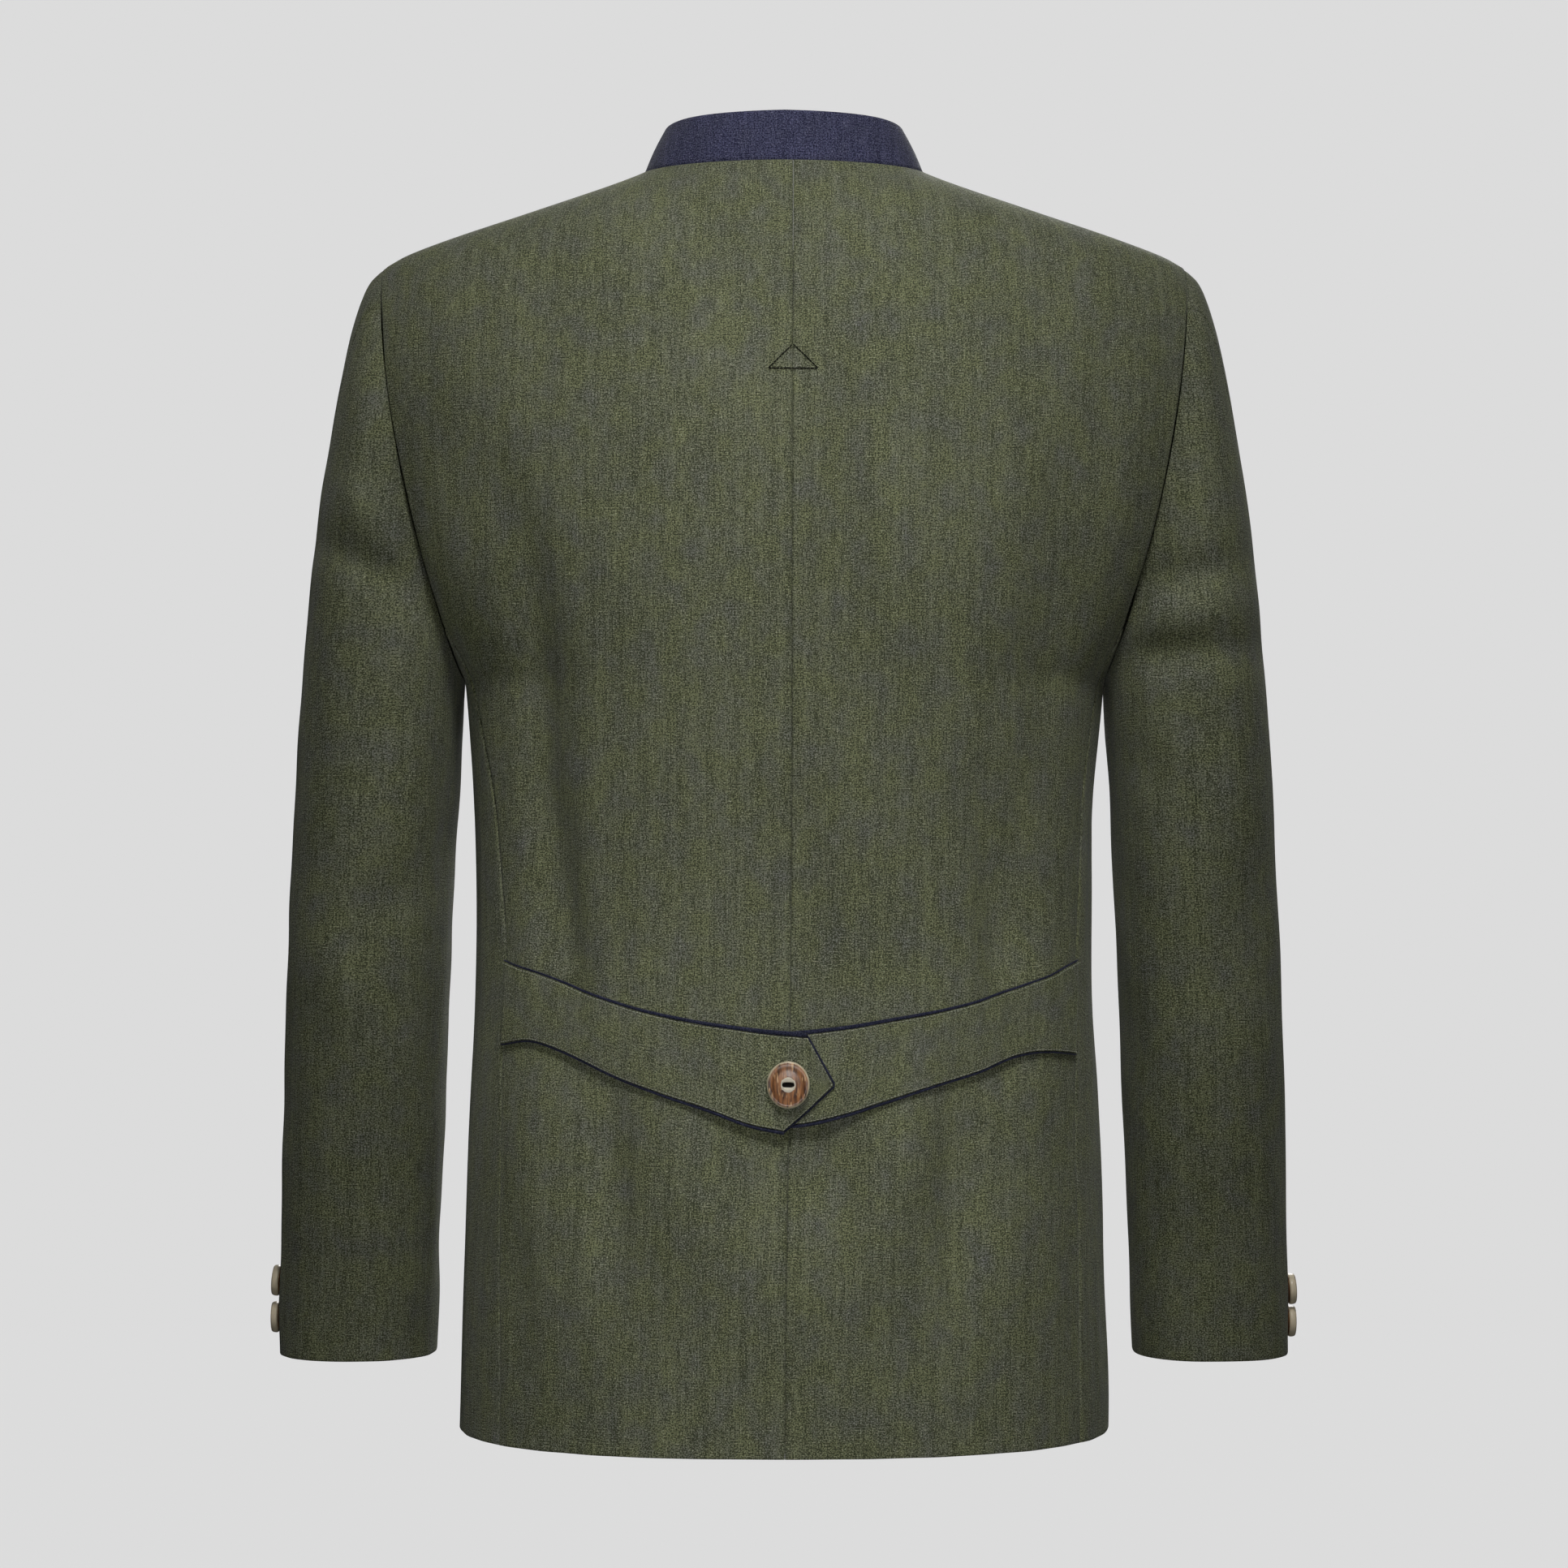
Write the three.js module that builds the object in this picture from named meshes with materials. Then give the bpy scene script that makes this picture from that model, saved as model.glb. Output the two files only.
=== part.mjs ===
// A linen jacket with a stand collar, a two-part half belt and horn buttons,
// filled out as if worn. Millimetres, +Z up. The wearer faces -Y, so the
// wearer's left is +X. The origin is the middle of the neck opening, at the
// height of the collar seam.
import * as THREE from 'three';

// ---- Driving dimensions --------------------------------------------------

const HEM_Z = -715;
const NECK_HALF_WIDTH = 80;
const NECK_FRONT_DROP = 62;
const NECK_CURVE_POWER = 1.5;
const SHOULDER_TIP = { x: 228.5, z: -55 };
const UNDERARM = { x: 182, z: -290 };
const ARMHOLE_HALF_DEPTH = 66;
const ARMHOLE_BOW = 8.5;
const ARMHOLE_POWER = 2.3;
const SIDE_SEAM_TOP_Z = -262;
const LAP_WIDTH = 18;
const UNDER_LAP = { behind: 1, full: 21, none: 44 };

const CLOTH = 2;
const DOUBLE_CLOTH = 2.4;
const PLEAT_CLOTH = 1.6;
const SEAM_HALF_GAP = 0.2;
const LAID_ON = 0.6;

// Depth of the body behind and before the neck's axis, and how square each
// level section is (2 is an ellipse).
const BODY = [
  { z: 0, back: 62, front: 56, power: 2 },
  { z: -20, back: 76, front: 69, power: 2.05 },
  { z: -55, back: 93, front: 83, power: 2.15 },
  { z: -100, back: 111, front: 99, power: 2.3 },
  { z: -150, back: 123, front: 115, power: 2.4 },
  { z: -200, back: 128, front: 123, power: 2.4 },
  { z: -260, back: 127, front: 126, power: 2.4 },
  { z: -330, back: 120, front: 123, power: 2.4 },
  { z: -430, back: 110, front: 119, power: 2.4 },
  { z: -520, back: 114, front: 121, power: 2.4 },
  { z: -600, back: 122, front: 125, power: 2.4 },
  { z: -715, back: 131, front: 130, power: 2.4 },
];

// Half width along the shoulder seam, and of the body below the armholes.
const SHOULDER = [
  { z: 0, x: NECK_HALF_WIDTH },
  { z: -1.6, x: 83.5 },
  { z: -7.2, x: 97.9 },
  { z: -24, x: 147.2 },
  { z: -40.7, x: 196.9 },
  { z: -49, x: 218 },
  { z: SHOULDER_TIP.z, x: SHOULDER_TIP.x },
];
const SIDES = [
  { z: UNDERARM.z, x: UNDERARM.x },
  { z: -318, x: 179.7 },
  { z: -355, x: 176.9 },
  { z: -410, x: 175.4 },
  { z: -460, x: 175.8 },
  { z: -520, x: 178.7 },
  { z: -580, x: 181.2 },
  { z: -650, x: 183.3 },
  { z: HEM_Z, x: 184.8 },
];

// Seams beside the back and the fronts, as distances from the middle plane.
// The back hangs a little to the wearer's right.
const SIDE_SEAMS = [
  { z: SIDE_SEAM_TOP_Z, backLeft: 190, backRight: 190, front: 190 },
  { z: -290, backLeft: 176.5, backRight: 178, front: 177 },
  { z: -330, backLeft: 167.5, backRight: 171, front: 168 },
  { z: -365, backLeft: 161.7, backRight: 167.6, front: 162 },
  { z: -400, backLeft: 158.6, backRight: 166, front: 158 },
  { z: -447, backLeft: 156, backRight: 164.4, front: 155 },
  { z: -520, backLeft: 157, backRight: 163.6, front: 155 },
  { z: HEM_Z, backLeft: 158.6, backRight: 165, front: 157 },
];
const CENTRE_BACK_SEAM = [
  { z: 0, x: -5.2 },
  { z: -200, x: -4.6 },
  { z: -540, x: -3.4 },
  { z: -610, x: -1.6 },
  { z: HEM_Z, x: -0.4 },
];

// Levels at which every body panel has a row of points. The front's top row
// is a little lower, where its neckline already has some length.
const LEVELS = [
  0, -4, -9, -16, -25, -35, -45, -55, -59.5, -62, -65, -75, -92, -120, -155, -195, -230, -262,
  -290, -325, -365, -405, -440, -470, -500, -535, -575, -620, -668, -715,
];
const FRONT_TOP_Z = -0.8;

// Soft folds of the body. A path runs in x and z, width is across the fold,
// and a negative depth is a trough.
const BODY_FOLDS = [
  { face: 'back', path: [[176, -160], [141, -225], [138, -330], [130, -440]], width: 20, depth: -4.5 },
  { face: 'back', path: [[-174, -150], [-141, -270], [-132, -430]], width: 19, depth: -3.5 },
  { face: 'back', path: [[-30, -140], [-31, -300]], width: 15, depth: -1.8 },
  { face: 'back', path: [[66, -535], [22, -640]], width: 22, depth: 3 },
  { face: 'back', path: [[98, -520], [90, -640]], width: 16, depth: -3.5 },
  { face: 'back', path: [[138, -510], [134, -640]], width: 17, depth: 3 },
  { face: 'back', path: [[-30, -545], [-42, -660]], width: 13, depth: -2 },
  { face: 'back', path: [[-70, -535], [-40, -630]], width: 20, depth: 3 },
  { face: 'back', path: [[-99, -530], [-94, -660]], width: 16, depth: -3.5 },
  { face: 'back', path: [[-130, -520], [-134, -690]], width: 18, depth: 2.5 },
  { face: 'front', path: [[168, -150], [134, -250], [120, -420]], width: 22, depth: -4 },
  { face: 'front', path: [[-166, -160], [-130, -260], [-118, -400]], width: 21, depth: -3.5 },
  { face: 'front', path: [[96, -440], [110, -660]], width: 24, depth: 3 },
  { face: 'front', path: [[-90, -450], [-104, -670]], width: 22, depth: 2.5 },
  { face: 'front', path: [[58, -470], [62, -690]], width: 18, depth: -2.5 },
  { face: 'front', path: [[-56, -500], [-60, -690]], width: 18, depth: -2.5 },
];

// Rings of a sleeve: its outer and inner points, the middle of its depth,
// its half depths, and how far the ring bows out of the plane at its middle.
// The first nine fan about the underarm, and the others are level.
const SLEEVE = [
  {
    ring: 0, outX: SHOULDER_TIP.x, outZ: SHOULDER_TIP.z, inX: UNDERARM.x, inZ: UNDERARM.z,
    midY: 0, back: ARMHOLE_HALF_DEPTH, front: 63, bow: ARMHOLE_BOW,
  },
  { ring: 1, outX: 237.4, outZ: -65, inX: 182.8, inZ: -291.6, midY: 0, back: 69, front: 66, bow: 8 },
  { ring: 2, outX: 245.4, outZ: -88, inX: 183, inZ: -292.8, midY: 0, back: 72, front: 69, bow: 7 },
  { ring: 3, outX: 252.9, outZ: -123, inX: 183.1, inZ: -294, midY: 0, back: 74, front: 72, bow: 5.5 },
  { ring: 4, outX: 259.5, outZ: -160, inX: 183.2, inZ: -295.2, midY: 0, back: 75, front: 74, bow: 4 },
  { ring: 5, outX: 265.3, outZ: -197, inX: 183.3, inZ: -296.4, midY: 0, back: 75, front: 75, bow: 3 },
  { ring: 6, outX: 269.5, outZ: -234, inX: 183.4, inZ: -297.6, midY: 0, back: 75, front: 75, bow: 2 },
  { ring: 7, outX: 272.8, outZ: -270, inX: 183.5, inZ: -299, midY: 0, back: 75, front: 75, bow: 1 },
  { ring: 8, outX: 275.6, outZ: -304, inX: 183.9, inZ: -304, midY: -0.5, back: 75, front: 75, bow: 0 },
  { ring: 9, outX: 277.8, outZ: -336, inX: 185.6, inZ: -336, midY: -1.5, back: 74, front: 74, bow: 0 },
  { ring: 10, outX: 279.9, outZ: -371, inX: 187.8, inZ: -371, midY: -3, back: 72, front: 72, bow: 0 },
  { ring: 11, outX: 281.9, outZ: -408, inX: 189.7, inZ: -408, midY: -5, back: 69, front: 69, bow: 0 },
  { ring: 12, outX: 284, outZ: -447, inX: 191.7, inZ: -447, midY: -8, back: 66, front: 66, bow: 0 },
  { ring: 13, outX: 285.9, outZ: -488, inX: 193.8, inZ: -488, midY: -12, back: 62, front: 62, bow: 0 },
  { ring: 14, outX: 287.7, outZ: -530, inX: 195.7, inZ: -530, midY: -18, back: 58, front: 58, bow: 0 },
  { ring: 15, outX: 289.6, outZ: -572, inX: 197.8, inZ: -572, midY: -24.5, back: 54, front: 54, bow: 0 },
  { ring: 16, outX: 291.2, outZ: -614, inX: 199.9, inZ: -614, midY: -32, back: 51, front: 51, bow: 0 },
  { ring: 17, outX: 292.6, outZ: -648, inX: 201.2, inZ: -648, midY: -37, back: 49.5, front: 49.5, bow: 0 },
  { ring: 18, outX: 293.1, outZ: -679, inX: 202.8, inZ: -679, midY: -41, back: 49, front: 49, bow: 0 },
];
const SLEEVE_POWER = 2.3;
const SLEEVE_TOP_GAP = 1.35;
const SLEEVE_FIT_RINGS = 1.6;

// The hind seam's angle round the sleeve: 0 is the outer edge and 90 is the
// back. The inner seam keeps one angle.
const HIND_SEAM = [
  { ring: 0, angle: 42 },
  { ring: 3, angle: 26 },
  { ring: 6, angle: 8 },
  { ring: 8, angle: 0 },
  { ring: 12, angle: -5 },
  { ring: 18, angle: -6 },
];
const INNER_SEAM_ANGLE = 202;

// Soft folds of the sleeves: side is 1 for the wearer's left.
const SLEEVE_FOLDS = [
  { side: 1, face: 'back', path: [[254, -214], [230, -226], [204, -248]], width: 12, depth: -4 },
  { side: 1, face: 'back', path: [[250, -186], [216, -212]], width: 13, depth: 3 },
  { side: 1, face: 'back', path: [[268, -425], [232, -490]], width: 20, depth: 2 },
  { side: 1, face: 'back', path: [[200, -395], [232, -430]], width: 14, depth: -2.5 },
  { side: -1, face: 'back', path: [[188, -243], [219, -236], [254, -224]], width: 11, depth: -4 },
  { side: -1, face: 'back', path: [[198, -260], [256, -249]], width: 13, depth: 3.5 },
  { side: -1, face: 'back', path: [[188, -279], [219, -276], [262, -274]], width: 11, depth: -3.5 },
  { side: -1, face: 'back', path: [[262, -390], [240, -480]], width: 18, depth: -2.5 },
  { side: 1, face: 'front', path: [[198, -330], [240, -400]], width: 16, depth: -3.5 },
  { side: 1, face: 'front', path: [[200, -430], [250, -445]], width: 15, depth: -3 },
  { side: -1, face: 'front', path: [[200, -345], [246, -395]], width: 16, depth: -3.5 },
  { side: -1, face: 'front', path: [[200, -440], [252, -430]], width: 15, depth: -3 },
];

// Stand collar: how far it leans in and rises, by the angle round the neck.
const COLLAR = [
  { angle: 0, lean: 9, rise: 29.5 },
  { angle: 45, lean: 10.5, rise: 28.5 },
  { angle: 90, lean: 12.6, rise: 26.5 },
  { angle: 135, lean: 10, rise: 28 },
  { angle: 180, lean: 7, rise: 30 },
];
const COLLAR_CORNER_RADIUS = 12;
const COLLAR_END_ANGLE = 179.3;
const COLLAR_SWELL = 0.8;
const COLLAR_FOOT_GAP = 0.6;

// Half belt: lines across it, from the side seam to its end.
const BELT_LEFT = [
  { line: 0, topX: 155.4, topZ: -448.4, lowX: 155.8, lowZ: -493.5 },
  { line: 1, topX: 133.9, topZ: -455.6, lowX: 138, lowZ: -491 },
  { line: 2, topX: 109.1, topZ: -464.4, lowX: 114, lowZ: -499.3 },
  { line: 3, topX: 84.9, topZ: -472.2, lowX: 90, lowZ: -509.8 },
  { line: 4, topX: 61, topZ: -477.9, lowX: 64, lowZ: -518.9 },
  { line: 5, topX: 37.2, topZ: -482.3, lowX: 39, lowZ: -527.3 },
  { line: 6, topX: 13.5, topZ: -485.6, lowX: 19.4, lowZ: -534.4 },
  { line: 7, topX: -12.2, topZ: -488.2, lowX: 0.8, lowZ: -538.4 },
];
const BELT_TIP = { x: -27.1, z: -513.6, halfWidth: 0.7 };
const BELT_RIGHT = [
  { line: 0, topX: -163, topZ: -448.6, lowX: -161.6, lowZ: -499.4 },
  { line: 1, topX: -147, topZ: -456.2, lowX: -144.7, lowZ: -497 },
  { line: 2, topX: -129.6, topZ: -462.5, lowX: -128, lowZ: -498.8 },
  { line: 3, topX: -105.4, topZ: -470, lowX: -105.4, lowZ: -506.9 },
  { line: 4, topX: -81.3, topZ: -475.4, lowX: -80, lowZ: -514.2 },
  { line: 5, topX: -57.5, topZ: -479.6, lowX: -57, lowZ: -521.5 },
  { line: 6, topX: -33.8, topZ: -482.8, lowX: -33, lowZ: -529.4 },
  { line: 7, topX: -8, topZ: -485.4, lowX: -8, lowZ: -534.6 },
  { line: 8, topX: 14, topZ: -486.6, lowX: 14, lowZ: -532.4 },
];
const BELT_COLUMNS = 17;
const BELT_LAP_GAP = 0.5;
const BELT_RAMP = { flat: 62, over: 24 };
const PIPING_RADIUS = 1.2;
const PIPING_GAP = 0.45;

// The underlay of the box pleat, behind the centre back seam.
const PLEAT = { top: -112, low: -712, halfWidth: 26, behind: 0.9 };

// Horn buttons: radius, thickness at the rim and in the dished middle.
const BACK_BUTTON = { x: -2.65, z: -512.7, radius: 12.9, narrow: 0.91, rim: 4.4, middle: 3.4, sides: 24 };
const CUFF_BUTTON = { radius: 9, narrow: 1, rim: 4.6, middle: 3.7, sides: 16, angle: -3 };
const CUFF_BUTTON_HEIGHTS = { left: [-638, -659.5], right: [-643, -662] };
const FRONT_BUTTON = { radius: 10, narrow: 1, rim: 4, middle: 3.1, sides: 16 };
const FRONT_BUTTON_HEIGHTS = [-84, -182, -280, -378, -476];
const BUTTON_GAP = 0.35;

const linen = { color: 0x5b5e4a, roughness: 0.92, metalness: 0 };
const navyLinen = { color: 0x3a3c55, roughness: 0.9, metalness: 0 };
const horn = { color: 0x6a4c36, roughness: 0.38, metalness: 0 };

// ---- Small helpers -------------------------------------------------------

const radians = THREE.MathUtils.degToRad;
const lerp = THREE.MathUtils.lerp;
const signedPower = (value, power) => Math.sign(value) * Math.abs(value) ** power;

// A column of a table at a place between its rows, on a smooth curve.
function along(rows, key, column, at) {
  const order = Math.sign(rows[1][key] - rows[0][key]);
  const last = rows.length - 1;
  if (order * (at - rows[0][key]) <= 0) return rows[0][column];
  if (order * (at - rows[last][key]) >= 0) return rows[last][column];
  let i = 0;
  while (order * (at - rows[i + 1][key]) > 0) i += 1;
  const slope = (j) => (rows[j + 1][column] - rows[j][column]) / (rows[j + 1][key] - rows[j][key]);
  const here = slope(i);
  const before = i > 0 ? (slope(i - 1) + here) / 2 : here;
  const after = i < last - 1 ? (here + slope(i + 1)) / 2 : here;
  const span = rows[i + 1][key] - rows[i][key];
  const s = (at - rows[i][key]) / span;
  const rise = rows[i + 1][column] - rows[i][column];
  const bend = span * s * (1 - s) * ((1 - s) * before - s * after);
  return rows[i][column] + (3 - 2 * s) * s * s * rise + bend;
}

// How far the folds of a table move the cloth out at x, z.
function foldDepth(folds, face, x, z) {
  let depth = 0;
  for (const fold of folds) {
    if (fold.face !== face) continue;
    const pieces = fold.path.length - 1;
    let nearest = Infinity;
    let place = 0;
    for (let i = 0; i < pieces; i += 1) {
      const [x1, z1] = fold.path[i];
      const [x2, z2] = fold.path[i + 1];
      const dx = x2 - x1;
      const dz = z2 - z1;
      const s = THREE.MathUtils.clamp(((x - x1) * dx + (z - z1) * dz) / (dx * dx + dz * dz), 0, 1);
      const distance = Math.hypot(x - x1 - s * dx, z - z1 - s * dz);
      if (distance < nearest) {
        nearest = distance;
        place = (i + s) / pieces;
      }
    }
    const taper = 0.35 + 0.65 * Math.sin(Math.PI * place);
    depth += fold.depth * taper * Math.exp(-((nearest / fold.width) ** 2));
  }
  return depth;
}

// The normal of a surface point(u, v) by small steps, turned away from inside.
function normalOf(point, u, v, stepU, stepV, inside) {
  const alongU = point(u + stepU, v).sub(point(u - stepU, v));
  const alongV = point(u, v + stepV).sub(point(u, v - stepV));
  const normal = alongU.cross(alongV).normalize();
  const outward = point(u, v).sub(inside);
  return normal.dot(outward) < 0 ? normal.negate() : normal;
}

// A closed wall between two grids of points with the same rows and columns.
function wallGeometry(outer, inner) {
  const rows = outer.length;
  const columns = outer[0].length;
  const positions = [];
  for (const grid of [outer, inner]) {
    for (const row of grid) {
      for (const point of row) positions.push(point.x, point.y, point.z);
    }
  }
  const out = (i, j) => i * columns + j;
  const back = (i, j) => rows * columns + out(i, j);
  const index = [];
  const quad = (a, b, c, d) => index.push(a, b, c, a, c, d);
  for (let i = 0; i + 1 < rows; i += 1) {
    for (let j = 0; j + 1 < columns; j += 1) {
      quad(out(i, j), out(i + 1, j), out(i + 1, j + 1), out(i, j + 1));
      quad(back(i, j), back(i, j + 1), back(i + 1, j + 1), back(i + 1, j));
    }
    quad(out(i, 0), back(i, 0), back(i + 1, 0), out(i + 1, 0));
    quad(out(i, columns - 1), out(i + 1, columns - 1), back(i + 1, columns - 1), back(i, columns - 1));
  }
  for (let j = 0; j + 1 < columns; j += 1) {
    quad(out(0, j), out(0, j + 1), back(0, j + 1), back(0, j));
    quad(out(rows - 1, j), back(rows - 1, j), back(rows - 1, j + 1), out(rows - 1, j + 1));
  }
  if (enclosedVolume(positions, index) < 0) index.reverse();
  const geometry = new THREE.BufferGeometry();
  geometry.setAttribute('position', new THREE.Float32BufferAttribute(positions, 3));
  geometry.setIndex(index);
  return geometry;
}

function enclosedVolume(positions, index) {
  const corner = (i) => new THREE.Vector3().fromArray(positions, 3 * index[i]);
  let volume = 0;
  for (let i = 0; i < index.length; i += 3) {
    volume += corner(i).dot(corner(i + 1).cross(corner(i + 2))) / 6;
  }
  return volume;
}

// Draws the edges of a grid in by half a seam's gap, towards its own middle.
function partedAtSeams(grid) {
  const rows = grid.length;
  const columns = grid[0].length;
  const inwards = (i, last) => (i === 0 ? 1 : i === last ? -1 : 0);
  return grid.map((row, i) => row.map((point, j) => {
    const moved = point.clone();
    const di = inwards(i, rows - 1);
    const dj = inwards(j, columns - 1);
    if (di) moved.addScaledVector(grid[i + di][j].clone().sub(point).normalize(), SEAM_HALF_GAP);
    if (dj) moved.addScaledVector(grid[i][j + dj].clone().sub(point).normalize(), SEAM_HALF_GAP);
    return moved;
  }));
}

// ---- The body's surface --------------------------------------------------

const armholeMiddle = {
  x: (SHOULDER_TIP.x + UNDERARM.x) / 2,
  z: (SHOULDER_TIP.z + UNDERARM.z) / 2,
};
const armholeHalf = {
  x: (SHOULDER_TIP.x - UNDERARM.x) / 2,
  z: (SHOULDER_TIP.z - UNDERARM.z) / 2,
};

// The armhole seen from behind, and its half depth, at height z.
function armholeX(z) {
  const u = (z - armholeMiddle.z) / armholeHalf.z;
  return armholeMiddle.x + armholeHalf.x * u + ARMHOLE_BOW * (1 - u * u);
}

function armholeDepth(z) {
  const u = Math.min(1, Math.abs((z - armholeMiddle.z) / armholeHalf.z));
  return ARMHOLE_HALF_DEPTH * (1 - u ** ARMHOLE_POWER) ** (1 / ARMHOLE_POWER);
}

// Between shoulder and underarm the section is the one that passes through
// the armhole's back edge.
function bodyHalfWidth(z) {
  if (z >= SHOULDER_TIP.z) return along(SHOULDER, 'z', 'x', z);
  if (z <= UNDERARM.z) return along(SIDES, 'z', 'x', z);
  const power = along(BODY, 'z', 'power', z);
  const share = (armholeDepth(z) / along(BODY, 'z', 'back', z)) ** power;
  return armholeX(z) / (1 - share) ** (1 / power);
}

// Angle 0 is the centre back, 90 degrees the wearer's left side.
function bodyPoint(angle, z) {
  const power = along(BODY, 'z', 'power', z);
  const halfWidth = bodyHalfWidth(z);
  const face = Math.cos(angle) >= 0 ? 'back' : 'front';
  const depth = along(BODY, 'z', face, z);
  const x = halfWidth * signedPower(Math.sin(angle), 2 / power);
  const y = depth * signedPower(Math.cos(angle), 2 / power);
  const outX = signedPower(Math.sin(angle), 2 - 2 / power) / halfWidth;
  const outY = signedPower(Math.cos(angle), 2 - 2 / power) / depth;
  const fade = Math.min(1, (2 * Math.abs(y)) / depth);
  const fold = (fade * foldDepth(BODY_FOLDS, face, x, z)) / Math.hypot(outX, outY);
  return new THREE.Vector3(x + fold * outX, y + fold * outY, z);
}

function bodyNormal(angle, z) {
  const level = THREE.MathUtils.clamp(z, HEM_Z + 2, -2);
  return normalOf(bodyPoint, angle, level, radians(1.2), 2, new THREE.Vector3(0, 0, level - 40));
}

// The angle at which the body's section at z is x from the middle plane.
function angleAt(x, z, front = false) {
  const power = along(BODY, 'z', 'power', z);
  const share = Math.min(1, Math.abs(x) / bodyHalfWidth(z));
  const fromMiddle = Math.asin(share ** (power / 2));
  return (x < 0 ? -1 : 1) * (front ? Math.PI - fromMiddle : fromMiddle);
}

// Outer edge of a back or front panel: shoulder seam, armhole, side seam.
function panelEdgeAngle(z, side, front) {
  if (z >= SHOULDER_TIP.z) return Math.PI / 2;
  if (z > SIDE_SEAM_TOP_Z) return angleAt(armholeX(z), z, front);
  const backSeam = side > 0 ? 'backLeft' : 'backRight';
  return angleAt(along(SIDE_SEAMS, 'z', front ? 'front' : backSeam, z), z, front);
}

// A panel over places {angle, z, lift}: its outer face stands lift off the body.
function bodyPanel(places, thickness) {
  const offset = ({ angle, z, lift }, depth) =>
    bodyPoint(angle, z).addScaledVector(bodyNormal(angle, z), lift - depth);
  const outer = places.map((row) => row.map((place) => offset(place, 0)));
  const inner = places.map((row) => row.map((place) => offset(place, thickness)));
  return wallGeometry(partedAtSeams(outer), partedAtSeams(inner));
}

// ---- Body panels ---------------------------------------------------------

function backPanel(side) {
  const columns = 9;
  const places = LEVELS.map((z) => {
    const middle = angleAt(along(CENTRE_BACK_SEAM, 'z', 'x', z), z);
    const edge = side * panelEdgeAngle(z, side, false);
    const angles = Array.from({ length: columns + 1 }, (_, j) => lerp(middle, edge, j / columns));
    return angles.map((angle) => ({ angle, z, lift: 0 }));
  });
  return bodyPanel(places, CLOTH);
}

// The side panel's top edge is the lowest stretch of the armhole.
function sidePanel(side) {
  const columns = 6;
  const reach = armholeDepth(SIDE_SEAM_TOP_Z);
  const levels = LEVELS.filter((z) => z <= SIDE_SEAM_TOP_Z);
  const places = levels.map((z) => {
    const height = (z - HEM_Z) / (SIDE_SEAM_TOP_Z - HEM_Z);
    return Array.from({ length: columns + 1 }, (_, j) => {
      const across = (2 * j) / columns - 1;
      const u = (1 - Math.abs((across * reach) / ARMHOLE_HALF_DEPTH) ** ARMHOLE_POWER) ** (1 / ARMHOLE_POWER);
      const topZ = armholeMiddle.z - armholeHalf.z * u;
      const level = lerp(HEM_Z, topZ, height);
      const between = (level) =>
        lerp(panelEdgeAngle(level, side, false), panelEdgeAngle(level, side, true), j / columns);
      const angle = between(z) + (sideTopAngle(topZ, across) - between(SIDE_SEAM_TOP_Z)) * height ** 4;
      return { angle: side * angle, z: level, lift: 0 };
    });
  });
  return bodyPanel(places, CLOTH);
}

function sideTopAngle(z, across) {
  if (across === 0) return Math.PI / 2;
  return angleAt(armholeX(z), z, across > 0);
}

// The front neckline at height z, as the distance from the middle plane.
function frontNecklineX(z) {
  const share = Math.max(0, 1 + z / NECK_FRONT_DROP);
  return NECK_HALF_WIDTH * share ** (1 / NECK_CURVE_POWER);
}

// Each row runs level from the outer edge to the neckline or the lap's edge.
function frontPanel(side) {
  const columns = 10;
  const places = LEVELS.map((level) => {
    const z = Math.min(level, FRONT_TOP_Z);
    const edge = panelEdgeAngle(z, side, true);
    const onNeck = z >= -NECK_FRONT_DROP;
    const inner = onNeck ? angleAt(frontNecklineX(z), z, true) : 2 * Math.PI - angleAt(LAP_WIDTH, z, true);
    return Array.from({ length: columns + 1 }, (_, j) => {
      const angle = lerp(edge, inner, j / columns);
      return { angle: side * angle, z, lift: side > 0 ? 0 : underLapLift(angle, z) };
    });
  });
  return bodyPanel(places, CLOTH);
}

// The right front passes under the left one near the centre front.
function underLapLift(angle, z) {
  const fromMiddle = bodyPoint(angle, z).x;
  const pressed = 1 - THREE.MathUtils.smoothstep(fromMiddle, UNDER_LAP.full, UNDER_LAP.none);
  return -(CLOTH + UNDER_LAP.behind) * pressed;
}

function pleatUnderlay() {
  const columns = 4;
  const lift = -(CLOTH + PLEAT.behind);
  const between = LEVELS.filter((z) => z < PLEAT.top && z > PLEAT.low);
  const places = [PLEAT.top, ...between, PLEAT.low].map((z) => {
    const middle = along(CENTRE_BACK_SEAM, 'z', 'x', z);
    return Array.from({ length: columns + 1 }, (_, j) => {
      const x = middle + PLEAT.halfWidth * ((2 * j) / columns - 1);
      return { angle: angleAt(x, z), z, lift };
    });
  });
  return bodyPanel(places, PLEAT_CLOTH);
}

// ---- Sleeves -------------------------------------------------------------

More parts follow.
